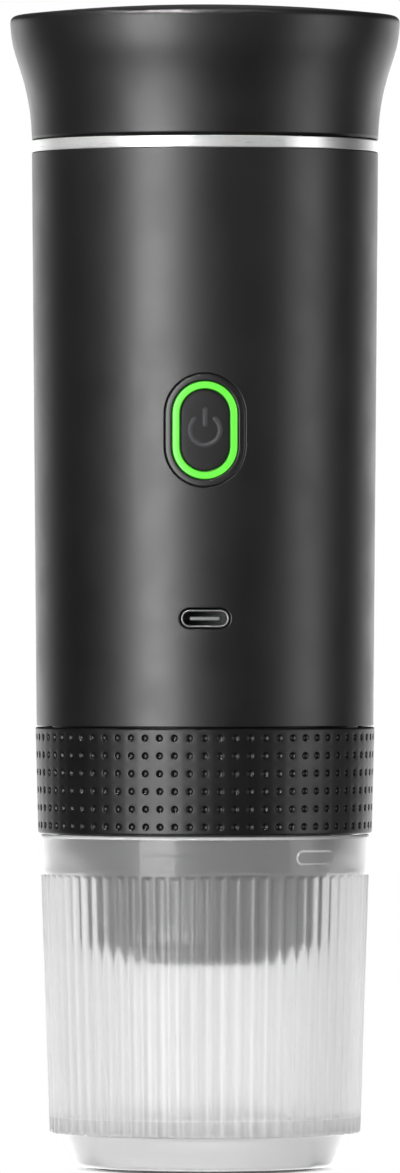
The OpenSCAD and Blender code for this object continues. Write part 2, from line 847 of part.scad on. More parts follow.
module pump_outlet() color("#d9d4c4")
    difference() {
        union() {
            disc(pump_r, cell_z, pump_can_z, 0, pump_y);
            disc(pump_bore_r - fit, cell_z, pump_can_z + tower_h, 0, pump_y);
            disc(pump_neck_r, deck_z, pump_can_z, 0, pump_y);
            disc(barb_r, deck_z - outlet_barb_l, cell_z, 0, pump_y);
        }
        disc(barb_bore_r, deck_z - outlet_barb_l - past, pump_can_z, 0, pump_y);
        disc(valve_bore_r, valve_bore_z, valve_seat_z, 0, pump_y);
        disc(rod_r + slip, rod_bore_z, pump_can_z + tower_h + past, 0, pump_y);
    }

module outlet_valve() color("#b03a2e")
    disc(valve_r, valve_seat_z - valve_h, valve_seat_z, 0, pump_y);

module valve_spring() color("#c4c6c8") {
    wire_r = 0.25;
    coil_spring(valve_r - 2 * wire_r, wire_r, valve_bore_z, valve_seat_z - valve_h, 3);
}

module pump_grommet() color("#2a2a2a")
    ring(grommet_r - fit, pump_neck_r + fit, deck_z, cell_z, 0, pump_y);

module clamp_screw_shanks(r) {
    for (side = [-1, 1])
        rod(r, board_back_y + fit, column_back_y + ear_t + past, side * column_x, clamp_z + clamp_h / 2);
}

module pump_clamp() color("#5b5d60")
    difference() {
        union() {
            disc(pump_r + clamp_wall, clamp_z, clamp_z + clamp_h, 0, pump_y);
            translate([-column_x - column_w / 2, column_back_y, clamp_z])
                cube([2 * column_x + column_w, ear_t, clamp_h]);
        }
        disc(pump_r + fit, clamp_z - past, clamp_z + clamp_h + past, 0, pump_y);
        clamp_screw_shanks(small_r + fit);
    }

module clamp_screws() color("#8d8f92") {
    head_y = column_back_y + ear_t;
    for (side = [-1, 1]) {
        rod(small_r, board_back_y + 2 * fit, head_y + small_head_h, side * column_x, clamp_z + clamp_h / 2);
        rod(small_head_r, head_y, head_y + small_head_h, side * column_x, clamp_z + clamp_h / 2);
    }
}

module outlet_hose() color("#e4e2dc")
    ring(hose_r, hose_bore_r, head_plate_z, deck_z, 0, pump_y);

// Brew unit

gasket_edge = 1.2;
gasket_lap = 1.6;
gasket_out_r = head_root_r - gasket_edge;
gasket_in_r = chamber_r - gasket_lap;
plate_r = gasket_in_r - gasket_edge;
plate_t = 1;
plate_sink = 0.5;
plate_z = head_z + plate_sink;
water_gap = 1;
head_recess_z = plate_z + plate_t + water_gap;
head_hub_r = 2.6;
shower_screw_r = 1.4;
shower_screw_head_r = 2.6;
shower_screw_head_h = 1.2;
shower_skin = 1.2;
shower_screw_top_z = head_plate_z - shower_skin;
shower_hole_r = 0.6;
shower_row = 0.28 * plate_r;

module brew_head() color("#3a3a3c") {
    difference() {
        union() {
            difference() {
                union() {
                    disc(head_root_r, head_z, head_top_z);
                    disc(shell_in(body_z) - fit, body_z, head_top_z);
                }
                disc(head_hollow_r, head_plate_z, head_top_z + past);
            }
            disc(barb_r, head_recess_z, head_plate_z + outlet_barb_l, 0, pump_y);
            for (side = [-1, 1])
                disc(boss_r, head_recess_z, head_top_z, side * deck_screw_at.x, deck_screw_at.y);
        }
        difference() {
            disc(plate_r + fit, head_z - past, head_recess_z);
            disc(head_hub_r, plate_z + plate_t, head_recess_z + past);
        }
        ring(gasket_out_r, gasket_in_r, head_z - past, head_z + brew_gasket_h - gasket_proud);
        disc(barb_bore_r, head_recess_z - fit, head_plate_z + outlet_barb_l + past, 0, pump_y);
        disc(shower_screw_r + fit, head_z - past, shower_screw_top_z + fit);
        for (side = [-1, 1])
            disc(deck_screw_r + fit, deck_z - deck_screw_l - fit, head_top_z + past,
                side * deck_screw_at.x, deck_screw_at.y);
    }
    ridges(head_root_r, head_root_r + ridge_h, head_thread_z, 0.5);
}

module brew_gasket() color("#d8d8d4")
    ring(gasket_out_r - fit, gasket_in_r + fit, flange_top_z, flange_top_z + brew_gasket_h);

module shower_plate() color("#b9bcbe")
    difference() {
        disc(plate_r, plate_z, plate_z + plate_t);
        disc(shower_screw_r + fit, plate_z - past, plate_z + plate_t + past);
        for (row = [1 : 3], i = [0 : 6 * row - 1]) {
            at = polar(row * shower_row, 60 * i / row, 0);
            disc(shower_hole_r, plate_z - past, plate_z + plate_t + past, at.x, at.y);
        }
    }

module shower_screw() color("#8d8f92") {
    disc(shower_screw_head_r, plate_z - shower_screw_head_h, plate_z);
    disc(shower_screw_r, plate_z - shower_screw_head_h, shower_screw_top_z);
}

module grip_collar() color("#232324") {
    edge = 0.4;
    difference() {
        turned([
            [lip_r, collar_z], [collar_bottom_r - edge, collar_z], [collar_bottom_r, collar_z + edge],
            [collar_top_r, collar_top_z - edge], [collar_top_r - edge, collar_top_z], [lip_r, collar_top_z]
        ]);
        disc(collar_bore_r, flange_z, collar_top_z + past);
    }
    ridges(collar_bore_r, collar_bore_r - ridge_h, head_thread_z - thread_pitch / 2, 0.25);
}

spigot_wall = 2;
web_t = 2;
seal_ring_r = 0.55;
seal_ring_z = (spigot_z + cup_h) / 2;
basket_lip_r = gasket_in_r - slip;
basket_lip_h = 1.2;
basket_r = chamber_low_r - chamber_wall - slip;
seat_slope = chamber_slope_h / (chamber_low_r - chamber_floor_r);
seat_z = chamber_z + chamber_wall + seat_slope * (chamber_low_r - chamber_wall - chamber_floor_r);
basket_z = seat_z + basket_seal_h;
basket_seal_w = 3;
basket_hole_r = 0.5;
basket_row = 0.24 * basket_r;
spout_hole_r = 3;
spout_flange_r = 5;
spout_flange_t = 1.2;
spout_bore_r = 1.6;

module brew_chamber() color("#4a4a4c") {
    web_z = flange_z - web_t;
    lip_z = flange_top_z - basket_lip_h;
    floor_z = chamber_z + chamber_wall;
    outside = [
        [spout_hole_r, chamber_z], [chamber_floor_r, chamber_z], [chamber_low_r, chamber_z + chamber_slope_h],
        [chamber_r, web_z], [spigot_r - spigot_wall, web_z], [spigot_r - spigot_wall, spigot_z],
        [spigot_r, spigot_z], [spigot_r, flange_z], [flange_r, flange_z], [flange_r, flange_top_z]
    ];
    inside = [
        [basket_lip_r + fit, flange_top_z], [basket_lip_r + fit, lip_z], [basket_r + slip, lip_z],
        [basket_r + slip, seat_z], [chamber_floor_r, floor_z], [spout_hole_r, floor_z]
    ];
    difference() {
        turned(concat(outside, inside));
        rotate_extrude() translate([spigot_r - 2 * seal_ring_r, seal_ring_z - seal_ring_r - fit])
            square([2 * seal_ring_r + past, 2 * seal_ring_r + 2 * fit]);
    }
}

module coffee_basket() color("#b9bcbe")
    difference() {
        union() {
            disc(basket_r, basket_z, flange_top_z);
            disc(basket_lip_r, flange_top_z - basket_lip_h, flange_top_z);
        }
        disc(basket_r - basket_wall, basket_z + basket_wall, flange_top_z + past);
        for (row = [0 : 3], i = [0 : max(0, 6 * row - 1)]) {
            at = polar(row * basket_row, 60 * i / max(1, row), 0);
            disc(basket_hole_r, basket_z - past, basket_z + basket_wall + past, at.x, at.y);
        }
    }

module basket_seal() color("#d8d8d4")
    ring(basket_r + slip - fit, basket_r - basket_seal_w, basket_z - basket_seal_h, basket_z);

module outlet_spout() color("#2c2b2c") {
    floor_z = chamber_z + chamber_wall;
    flange_up_z = floor_z + spout_flange_t;
    difference() {
        union() {
            disc(spout_flange_r, floor_z, flange_up_z);
            disc(spout_hole_r - fit, chamber_z, flange_up_z);
        }
        disc(spout_bore_r, chamber_z - past, flange_up_z + past);
    }
}

module cup_seal_ring() color("#2a2a2c")
    rotate_extrude() translate([spigot_r - seal_ring_r + fit, seal_ring_z]) circle(r = seal_ring_r);

// Cup

lock_angle = 42;
lock_w = 9.5;
lock_h = 2.7;
lock_rise = 0.3;
lock_in = 1;
lock_down = 4;

// The cup's outside radius at a height between the foot and the rim
function cup_side_r(z) = cup_low_r + (cup_rim_r - cup_low_r) * (z - foot_h) / (cup_h - foot_h);

module cup() color("#e6e8e9", 0.5) {
    edge = 0.5;
    floor_round = 2;
    foot_ring_w = 3.6;
    foot_in_r = foot_r - foot_ring_w;
    band_z = cup_h - cup_band_h;
    hollow_z = cup_floor_up - cup_floor_t;
    flute_r = PI * cup_low_r / rib_count;
    flute_tilt = atan((cup_rim_r - cup_low_r) / (cup_h - foot_h));
    flute_l = (band_z - foot_h) / cos(flute_tilt);
    lock_z = cup_h - lock_down;
    difference() {
        turned(concat(
            [[foot_r - edge, 0], [foot_r, edge], [foot_top_r, foot_h], [cup_low_r, foot_h]],
            [[cup_side_r(cup_h - edge), cup_h - edge], [cup_rim_r - edge, cup_h], [cup_bore_r, cup_h]],
            [[cup_bore_r, spigot_z], [cup_bore_r - cup_ledge, spigot_z]],
            arc([cup_inside_low_r - floor_round, cup_floor_up + floor_round], floor_round, 0, -90, 6),
            [[0, cup_floor_up], [0, hollow_z], [foot_in_r - edge, hollow_z], [foot_in_r, 0]]
        ));
        for (i = [0 : rib_count - 1])
            rotate([0, 0, 360 * (i + 0.5) / rib_count])
                translate([cup_low_r + flute_r - flute_depth, 0, foot_h]) rotate([0, flute_tilt, 0])
                    translate([0, 0, -past]) cylinder(r = flute_r, h = past + flute_l);
    }
    rotate([0, 0, lock_angle])
        intersection() {
            lying(lock_w, lock_h, lock_z, -2 * cup_rim_r, lock_in - cup_side_r(lock_z));
            turned([
                [0, lock_z - lock_h], [cup_side_r(lock_z - lock_h) + lock_rise, lock_z - lock_h],
                [cup_side_r(lock_z + lock_h) + lock_rise, lock_z + lock_h], [0, lock_z + lock_h]
            ]);
        }
}

lid_shell();
lid_liner();
vent_valve();
lid_seal();
trim_ring();
tank_neck();
tank_cup();
tank_gasket();
tank_insulation();
tank_outlet();
heater_plate();
heat_shield();
thermistor();
heater_leads();
body_shell();
chassis();
deck_screws();
battery_cell(-1);  // battery_cell_left
battery_cell(0);  // battery_cell_middle
battery_cell(1);  // battery_cell_right
battery_straps();
main_board();
board_connector();
board_screws();
usb_shell();
usb_tongue();
tact_switch();
ring_leds();
button_bezel();
light_ring();
button_cap();
switch_stem();
inlet_hose();
pump_inlet();
pump_can();
pump_bobbin();
pump_coil();
pump_tube();
pump_plunger();
plunger_spring();
pump_outlet();
outlet_valve();
valve_spring();
pump_grommet();
pump_clamp();
clamp_screws();
outlet_hose();
brew_head();
brew_gasket();
shower_plate();
shower_screw();
grip_collar();
brew_chamber();
coffee_basket();
basket_seal();
outlet_spout();
cup_seal_ring();
cup();
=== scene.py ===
import math

import bmesh
import bpy
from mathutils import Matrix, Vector


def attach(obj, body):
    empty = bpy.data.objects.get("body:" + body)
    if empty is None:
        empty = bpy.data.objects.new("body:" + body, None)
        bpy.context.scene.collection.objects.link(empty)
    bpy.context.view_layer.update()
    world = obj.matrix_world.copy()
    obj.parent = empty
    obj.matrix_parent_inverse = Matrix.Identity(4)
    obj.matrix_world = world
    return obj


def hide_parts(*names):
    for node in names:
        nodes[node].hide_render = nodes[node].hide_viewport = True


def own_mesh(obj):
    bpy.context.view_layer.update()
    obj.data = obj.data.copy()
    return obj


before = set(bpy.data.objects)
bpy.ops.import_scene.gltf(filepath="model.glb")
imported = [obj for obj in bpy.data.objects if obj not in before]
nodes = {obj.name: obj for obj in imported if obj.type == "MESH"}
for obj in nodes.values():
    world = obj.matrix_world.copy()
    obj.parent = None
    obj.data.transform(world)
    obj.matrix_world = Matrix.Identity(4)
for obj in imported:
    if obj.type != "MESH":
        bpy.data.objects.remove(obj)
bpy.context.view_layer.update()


# Inner works: the pump, the heater, the cells and the board on their chassis, shut in by the shell.
# Bought-in parts of nylon, metal, silicone and felt, screwed and clamped together.

MM = 0.001
# The two levels that a noise mostly keeps between
NOISE_LOW, NOISE_HIGH = 0.3, 0.7
# Clouds in a finish: their width in mm, and how far they change the gloss
CLOUD, CLOUD_GLOSS = 9, 0.03
# Tool marks: how many times longer than wide, how far they change the gloss, and their depth in mm
MARK_LENGTH, MARK_GLOSS, MARK_DEPTH = 60, 0.05, 0.01


def linear(code):
    """An sRGB hex colour as linear red, green, blue and alpha."""
    shares = [int(code[i:i + 2], 16) / 255 for i in (1, 3, 5)]
    return [s / 12.92 if s <= 0.04045 else ((s + 0.055) / 1.055) ** 2.4 for s in shares] + [1.0]


def add(tree, kind, inputs, **settings):
    """Adds a node with its settings. An input is a value, or the socket that feeds it."""
    made = tree.nodes.new(kind)
    for name, value in settings.items():
        setattr(made, name, value)
    for key, value in inputs.items():
        if isinstance(value, bpy.types.NodeSocket):
            tree.links.new(value, made.inputs[key])
        else:
            made.inputs[key].default_value = value
    return made


def new_material(name):
    """An empty material, its tree, and the socket with the place on the piece, in metres."""
    material = bpy.data.materials.new(name)
    material.use_nodes = True
    tree = material.node_tree
    tree.nodes.clear()
    return material, tree, add(tree, "ShaderNodeTexCoord", {}).outputs["Object"]


def noise(tree, place, size, detail):
    """A noise with blots some size mm wide."""
    scale = 1 / (size * MM)
    return add(tree, "ShaderNodeTexNoise", {"Vector": place, "Scale": scale, "Detail": detail}).outputs[0]


def between(tree, share, low, high):
    """A colour that lies between two sRGB tones."""
    ends = {0: share, 6: linear(low), 7: linear(high)}
    return add(tree, "ShaderNodeMix", ends, data_type="RGBA").outputs[2]


def ranged(tree, value, start, end, first, last):
    """A value that runs from first to last while the given one runs from start to end."""
    ends = {"From Min": start, "From Max": end, "To Min": first, "To Max": last}
    return add(tree, "ShaderNodeMapRange", {"Value": value, **ends}).outputs[0]


def bumped(tree, height, strength, depth):
    """Normals that follow a height, depth mm deep."""
    relief = {"Height": height, "Strength": strength, "Distance": depth * MM}
    return add(tree, "ShaderNodeBump", relief).outputs[0]


def surfaced(tree, inputs):
    """Ends a material's tree in a surface with these inputs."""
    shader = add(tree, "ShaderNodeBsdfPrincipled", inputs)
    add(tree, "ShaderNodeOutputMaterial", {"Surface": shader.outputs[0]})


def moulded(name, low, high, rough, grain, relief, fixed=None):
    """A moulded or sprayed finish: a colour that clouds softly between two tones, and a fine grain,
    grain mm wide and relief mm deep, which also breaks up the gloss."""
    material, tree, place = new_material(name)
    cloud = noise(tree, place, CLOUD, 4)
    speck = noise(tree, place, grain, 2)
    surfaced(tree, {
        "Base Color": between(tree, cloud, low, high),
        "Roughness": ranged(tree, cloud, NOISE_LOW, NOISE_HIGH, rough - CLOUD_GLOSS, rough + CLOUD_GLOSS),
        "Normal": bumped(tree, speck, 0.5, relief),
        **(fixed or {})})
    return material


def worked_metal(name, low, high, rough, lines, turned=True, metallic=1.0):
    """A metal with tool marks some lines mm apart, round the axis where it is turned, else along it."""
    material, tree, place = new_material(name)
    across = 1 / (lines * MM)
    along = 1 / (MARK_LENGTH * lines * MM)
    stretch = (along, along, across) if turned else (across, across, along)
    drawn = add(tree, "ShaderNodeMapping", {"Vector": place, "Scale": stretch}).outputs[0]
    marks = add(tree, "ShaderNodeTexNoise", {"Vector": drawn, "Scale": 1, "Detail": 3}).outputs[0]
    surfaced(tree, {
        "Base Color": between(tree, marks, low, high),
        "Metallic": metallic,
        "Roughness": ranged(tree, marks, NOISE_LOW, NOISE_HIGH, rough - MARK_GLOSS, rough + MARK_GLOSS),
        "Normal": bumped(tree, marks, 0.2, MARK_DEPTH)})
    return material


def dress(material, *names):
    """Gives CAD nodes a material."""
    for name in names:
        for slot in nodes[name].material_slots:
            slot.material = material


def finished(name, verts, faces, material, body, slot, *replaced):
    """Makes a piece from points in mm, with its faces outwards and smooth, on its CAD body."""
    mesh = bpy.data.meshes.new(name)
    mesh.from_pydata([[c * MM for c in v] for v in verts], [], faces)
    shape = bmesh.new()
    shape.from_mesh(mesh)
    bmesh.ops.recalc_face_normals(shape, faces=shape.faces)
    shape.to_mesh(mesh)
    shape.free()
    mesh.shade_smooth()
    mesh.materials.append(material)
    piece = bpy.data.objects.new(name, mesh)
    bpy.context.scene.collection.objects.link(piece)
    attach(piece, body)
    if replaced:
        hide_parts(*replaced)
    return piece


PUMP_Y = -4.5


def coil(mean_r, wire_r, low, high, turns):
    """Points and faces of a coil spring on the pump's axis, between two heights."""
    around, sides = 24, 10
    steps = turns * around
    verts, faces = [], []
    for i in range(steps + 1):
        turn = math.tau * i / around
        middle = low + wire_r + (high - low - 2 * wire_r) * i / steps
        for j in range(sides):
            side = math.tau * j / sides
            r = mean_r + wire_r * math.cos(side)
            z = middle + wire_r * math.sin(side)
            verts.append((r * math.cos(turn), PUMP_Y + r * math.sin(turn), z))
    for i in range(steps):
        a, b = i * sides, (i + 1) * sides
        faces += [(a + j, a + (j + 1) % sides, b + (j + 1) % sides, b + j) for j in range(sides)]
    return verts, faces + [tuple(range(sides)), tuple(range(steps * sides, (steps + 1) * sides))]


# Nylon as it comes from the mould, a warm white with a dull skin.
dress(moulded("natural_nylon", "#d8d3c4", "#e4e0d2", 0.5, 0.5, 0.02),
      "pump_inlet", "pump_bobbin", "pump_outlet", "board_connector", "switch_stem", "ring_leds")
# Glass-filled nylon: dark grey, and a little mottled where the fibres reach the skin.
dress(moulded("filled_nylon", "#4c4d50", "#5c5e61", 0.55, 0.6, 0.04), "chassis", "pump_clamp")
# Zinc plate on steel: a cool grey, with the marks of the press.
zinc_plate = worked_metal("zinc_plated_steel", "#83868a", "#a2a5a8", 0.35, 0.25)
dress(zinc_plate, "pump_can", "pump_plunger", "deck_screws", "board_screws", "clamp_screws")
# The springs are wound from the same steel, and are drawn at full length. In the machine one shortens from
# below as the plunger lifts, the other from above as the valve opens.
PLUNGER_TOP, TUBE_TOP, PLUNGER_STROKE = 121.3, 135.5, 3.0
PLUNGER_COIL_R, PLUNGER_WIRE_R, PLUNGER_TURNS = 3.1, 0.4, 5
VALVE_BORE, VALVE_UNDER, VALVE_STROKE = 88.6, 91.8, 1.0
VALVE_COIL_R, VALVE_WIRE_R, VALVE_TURNS = 1.8, 0.25, 3
SPRING_GAP = 0.05
plunger_coil = finished(
    "plunger_coil",
    *coil(PLUNGER_COIL_R, PLUNGER_WIRE_R, PLUNGER_TOP + SPRING_GAP, TUBE_TOP - SPRING_GAP, PLUNGER_TURNS),
    zinc_plate, "machine_body", "screw_steel", "plunger_spring")
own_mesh(plunger_coil)
valve_coil = finished(
    "valve_coil",
    *coil(VALVE_COIL_R, VALVE_WIRE_R, VALVE_BORE + SPRING_GAP, VALVE_UNDER - SPRING_GAP, VALVE_TURNS),
    zinc_plate, "machine_body", "screw_steel", "valve_spring")
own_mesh(valve_coil)
# Brass tube, drawn along its length: a warm yellow shine with straight lines.
dress(worked_metal("drawn_brass", "#b98f3a", "#d3b062", 0.3, 0.2, turned=False), "pump_tube")
# Enamelled copper wire, wound in turns of 0.5 mm: a red-brown gloss in fine rings.
dress(worked_metal("enamelled_copper", "#8f4a20", "#c9743a", 0.3, 0.5), "pump_coil")
# Nickel strip, spot-welded to the cells: a pale shine.
dress(worked_metal("nickel_strip", "#a9aaa8", "#c6c7c4", 0.3, 0.2, turned=False), "battery_straps")
# Shrink sleeve on the cells: a glossy blue film.
dress(moulded("shrink_sleeve", "#35628f", "#4175a8", 0.25, 3, 0.02),
      "battery_cell_left", "battery_cell_middle", "battery_cell_right")
# Solder mask on glass laminate: green, with a faint grain from the weave under it.
dress(moulded("solder_mask", "#174a30", "#225f40", 0.35, 0.8, 0.02), "main_board")
# Silicone rubber, soft and dull: milky in the hoses, red in the leads' sleeves and the valve.
dress(moulded("milky_silicone", "#d6d5cf", "#e4e3de", 0.45, 0.7, 0.02), "inlet_hose", "outlet_hose")
dress(moulded("red_silicone", "#a8352a", "#c0463a", 0.45, 0.7, 0.02), "heater_leads", "outlet_valve")
# Rubber of the grommet: black and matt.
dress(moulded("black_rubber", "#1b1b1b", "#272727", 0.6, 0.5, 0.03), "pump_grommet")
# Needle felt: matt grey fibres in tufts.
dress(moulded("needle_felt", "#7f7c74", "#b1aea5", 0.95, 0.35, 0.3), "tank_insulation")
# Pressed mica: pale, with a pearly fleck.
dress(moulded("pressed_mica", "#b8b2a2", "#d0cab9", 0.4, 1.5, 0.03), "heat_shield")
# Cast aluminium heater, dulled and browned by heat.
dress(worked_metal("cast_aluminium", "#84766a", "#a3968b", 0.5, 0.6), "heater_plate")
# Epoxy bead of the temperature sensor: a glossy straw yellow.
dress(moulded("epoxy_bead", "#cdbb8c", "#dccfa8", 0.25, 1, 0.02), "thermistor")
# Insulator of the switch: black, with a dull skin.
dress(moulded("black_insulator", "#18181a", "#242426", 0.5, 0.4, 0.02), "tact_switch")


# Brew head: the dark plug under the chassis that the collar screws on, with its gasket and shower plate.
# Moulded in heat-proof plastic. The steel plate is held by one screw, and the gasket sits in a groove.

# Heat-proof plastic: a dark grey with a low sheen.
dark_moulding = moulded("dark_heatproof_plastic", "#252527", "#2e2e30", 0.4, 0.4, 0.02)
# White silicone: soft, dull and a little warm.
white_seal = moulded("white_silicone", "#cbcac5", "#dcdbd6", 0.5, 0.6, 0.02)
# Spun stainless steel: bright, with fine rings from the spinning. The screw is turned and a little darker.
spun_steel = worked_metal("spun_stainless_steel", "#a9abad", "#c3c5c6", 0.25, 0.3)
dress(dark_moulding, "brew_head")
dress(white_seal, "brew_gasket")
dress(spun_steel, "shower_plate")
dress(worked_metal("stainless_screw", "#8d8f92", "#a9abae", 0.3, 0.2), "shower_screw")


# Body shell: the dark tapered tube round the works, with an opening for the button and one for the port.
# Drawn metal sprayed with a satin charcoal lacquer. It sits on the brew head and carries the trim ring.

SHELL_LOW, SHELL_HIGH = 83.6, 192.4
SHELL_LOW_R, SHELL_HIGH_R = 32.0, 32.9
SHELL_WALL, SHELL_ROUND, END_ROW = 1.8, 0.22, 0.8
COLUMNS = 240
BUTTON_Z, PORT_Z = 139.3, 104.0
# Each opening's middle height, width and height, then the window round it in the grid of faces: half its
# columns, half its height, its rows
OPENINGS = [(PORT_Z, 9.64, 3.96, 9, 4.0, 8), (BUTTON_Z, 15.3, 21.4, 16, 15.0, 24)]
# The rings between a window and its opening: how far out from the opening's edge each lies, as a share
RING_SHARES = (0.55, 0.2, 0.0)


def on_shell(x, z, sink=0.0):
    """The point of the shell's front at x and z, set back by sink, in mm."""
    r = SHELL_LOW_R + (SHELL_HIGH_R - SHELL_LOW_R) * (z - SHELL_LOW) / (SHELL_HIGH - SHELL_LOW) - sink
    return x, -math.sqrt(r * r - x * x), z


def reach(x, z, w, h):
    """How much the ray to x and z from the middle of a stadium, w by h, has to grow to end on its edge."""
    if w > h:
        x, z, w, h = z, x, h, w
    r, half = w / 2, (h - w) / 2
    if abs(z) * r <= half * abs(x):
        return r / abs(x)
    b = abs(z) * half
    square = x * x + z * z
    return (b + math.sqrt(b * b - square * (half * half - r * r))) / square


def shell_sheet():
    """The outside of the shell: a grid with a window round each opening, and rings in to the opening."""
    levels = [SHELL_LOW, SHELL_LOW + END_ROW]
    spans = []
    for middle, _, _, _, half_h, rows in OPENINGS:
        spans.append((len(levels), len(levels) + rows))
        levels += [middle - half_h + 2 * half_h * i / rows for i in range(rows + 1)]
    levels += [SHELL_HIGH - END_ROW, SHELL_HIGH]
    verts, faces, index = [], [], {}

    def at(level, column):
        key = level, column % COLUMNS
        if key not in index:
            index[key] = len(verts)
            turn = math.tau * column / COLUMNS
            r = -on_shell(0, levels[level])[1]
            verts.append((r * math.sin(turn), -r * math.cos(turn), levels[level]))
        return index[key]

    for level in range(len(levels) - 1):
        for column in range(-COLUMNS // 2, COLUMNS // 2):
            in_window = any(
                low <= level < high and -half <= column < half
                for (_, _, _, half, _, _), (low, high) in zip(OPENINGS, spans))
            if not in_window:
                lower = at(level, column), at(level, column + 1)
                upper = at(level + 1, column + 1), at(level + 1, column)
                faces.append(lower + upper)
    for (middle, w, h, half, _, _), (low, high) in zip(OPENINGS, spans):
        edge = [at(low, column) for column in range(-half, half)]
        edge += [at(level, half) for level in range(low, high)]
        edge += [at(high, column) for column in range(half, -half, -1)]
        edge += [at(level, -half) for level in range(high, low, -1)]
        outer = edge
        for share in RING_SHARES:
            inner = []
            for v in edge:
                x, z = verts[v][0], verts[v][2] - middle
                grow = reach(x, z, w, h)
                grow += (1 - grow) * share
                inner.append(len(verts))
                verts.append(on_shell(x * grow, middle + z * grow))
            for i in range(len(edge)):
                j = (i + 1) % len(edge)
                faces.append((outer[i], outer[j], inner[j], inner[i]))
            outer = inner
    return verts, faces


def round_edges(piece, width, segments, angle):
    """Rounds those edges of a piece that bend by more than an angle, width mm to each side."""
    rounding = piece.modifiers.new("rounding", "BEVEL")
    rounding.width = width * MM
    rounding.segments = segments
    rounding.limit_method = "ANGLE"
    rounding.angle_limit = math.radians(angle)
    rounding.harden_normals = True


# Satin lacquer: near-black, with a broad soft gloss. Its orange peel, 0.8 mm wide, is barely to be seen.
satin_lacquer = moulded("satin_charcoal_lacquer", "#0c0c0c", "#0f0f0f", 0.43, 0.8, 0.004, {"IOR": 1.7})
shell = finished("shell", *shell_sheet(), satin_lacquer, "machine_body", "body_cover", "body_shell")
wall = shell.modifiers.new("wall", "SOLIDIFY")
wall.thickness = SHELL_WALL * MM
wall.offset = -1
wall.use_even_offset = True
round_edges(shell, SHELL_ROUND, segments=3, angle=50)


# Charging port: the metal mouth and the tongue inside it, in an opening low on the front of the shell.
# A folded and plated steel shell, soldered to the board, with a moulded grey tongue.

PORT_MOUTH_Y, PORT_BACK_Y, PORT_FLOOR_Y = -31.87, -22.87, -23.87
PORT_W, PORT_H, PORT_WALL = 8.94, 3.26, 0.3
TONGUE_W, TONGUE_H, TONGUE_FRONT_Y = 5.7, 0.7, -31.07


def stadium(w, h):
    """Points round a stadium, w by h, as two half circles."""
    lies = w > h
    if lies:
        w, h = h, w
    steps = 24
    ends = []
    for side in (1, -1):
        for i in range(steps + 1):
            turn = math.pi * i / steps
            ends.append((side * w / 2 * math.cos(turn), side * (w / 2 * math.sin(turn) + (h - w) / 2)))
    return [(z, x) for x, z in ends] if lies else ends


def banded(w, h, middle, profile, seat, closed):
    """Points and faces of a band round a stadium. The profile holds how far each ring is set in, and its
    depth, and seat turns x, z and a depth to a point. A band that isn't closed is capped at both ends."""
    verts, faces = [], []
    for inset, depth in profile:
        verts += [seat(x, middle + z, depth) for x, z in stadium(w - 2 * inset, h - 2 * inset)]
    count = len(verts) // len(profile)
    rings = [range(i * count, (i + 1) * count) for i in range(len(profile))]
    for a, b in zip(rings, rings[1:] + rings[:1] if closed else rings[1:]):
        faces += [(a[i], a[(i + 1) % count], b[(i + 1) % count], b[i]) for i in range(count)]
    if not closed:
        faces += [tuple(rings[0]), tuple(rings[-1])]
    return verts, faces


def upright(x, z, depth):
    """A point of an upright flat face, whose depth is its y."""
    return x, depth, z


# Nickel plate on folded steel: bright, a little soft, with fine tool marks.
nickel_plate = worked_metal(
    "nickel_plated_steel", "#979899", "#adaeae", 0.4, 0.15, turned=False, metallic=0.4)
# From the back, forward to the rolled lip, and inside it back to the floor
mouth = [
    (0, PORT_BACK_Y), (0, PORT_MOUTH_Y + 0.12), (0.04, PORT_MOUTH_Y + 0.03), (0.12, PORT_MOUTH_Y),
    (PORT_WALL - 0.06, PORT_MOUTH_Y), (PORT_WALL, PORT_MOUTH_Y + 0.1),
    (PORT_WALL, PORT_FLOOR_Y), (PORT_H / 2 - 0.05, PORT_FLOOR_Y)]
finished("port_shell", *banded(PORT_W, PORT_H, PORT_Z, mouth, upright, False), nickel_plate,
         "machine_body", "port_steel", "usb_shell")
# Insulator of the tongue: a mid grey with a low sheen.
grey_insulator = moulded("grey_insulator", "#929394", "#9d9e9f", 0.4, 0.3, 0.01)
tongue = [(0, PORT_FLOOR_Y), (0, TONGUE_FRONT_Y + 0.5), (0.06, TONGUE_FRONT_Y + 0.15),
          (0.15, TONGUE_FRONT_Y + 0.03), (0.25, TONGUE_FRONT_Y)]
finished("port_tongue", *banded(TONGUE_W, TONGUE_H, PORT_Z, tongue, upright, False), grey_insulator,
         "machine_body", "port_black", "usb_tongue")


# Button: the raised rim in the shell's upper opening, the lit ring inside it and the cap that is pressed.
# Three mouldings. The rim snaps into the shell, the ring is a light guide, and a mark is printed on the cap.

RIM_W, RIM_H, RIM_BACK = 15.1, 21.2, 1.9
RING_W, RING_H, RING_BAND, RING_FACE, RING_BACK = 12.5, 18.6, 1.6, 0.15, 2.2
CAP_W, CAP_H, CAP_FACE, CAP_BACK = 9.1, 15.2, 0.25, 4.2
MARK_R, MARK_STROKE, MARK_GAP, MARK_STEPS = 2.82, 0.92, 42, 60
MARK_BAR_LOW, MARK_BAR_HIGH, MARK_BAR_STEPS = 1.05, 3.85, 6
MARK_PROUD, MARK_BACK = 0.23, 0.35

# Satin black of the rim: a shade lighter than the shell, with a like soft gloss.
rim_black = moulded("satin_black_rim", "#121112", "#161516", 0.4, 0.6, 0.004, {"IOR": 1.7})
rim = [(0, RIM_BACK), (0, 0.3), (0.05, 0.12), (0.15, 0.03), (0.3, 0), (0.65, 0), (1.0, 0), (1.15, 0.03),
       (1.22, 0.12), (1.24, 0.3), (1.24, RIM_BACK)]
finished("button_rim", *banded(RIM_W, RIM_H, BUTTON_Z, rim, on_shell, True), rim_black,
         "machine_body", "bezel_black", "button_bezel")

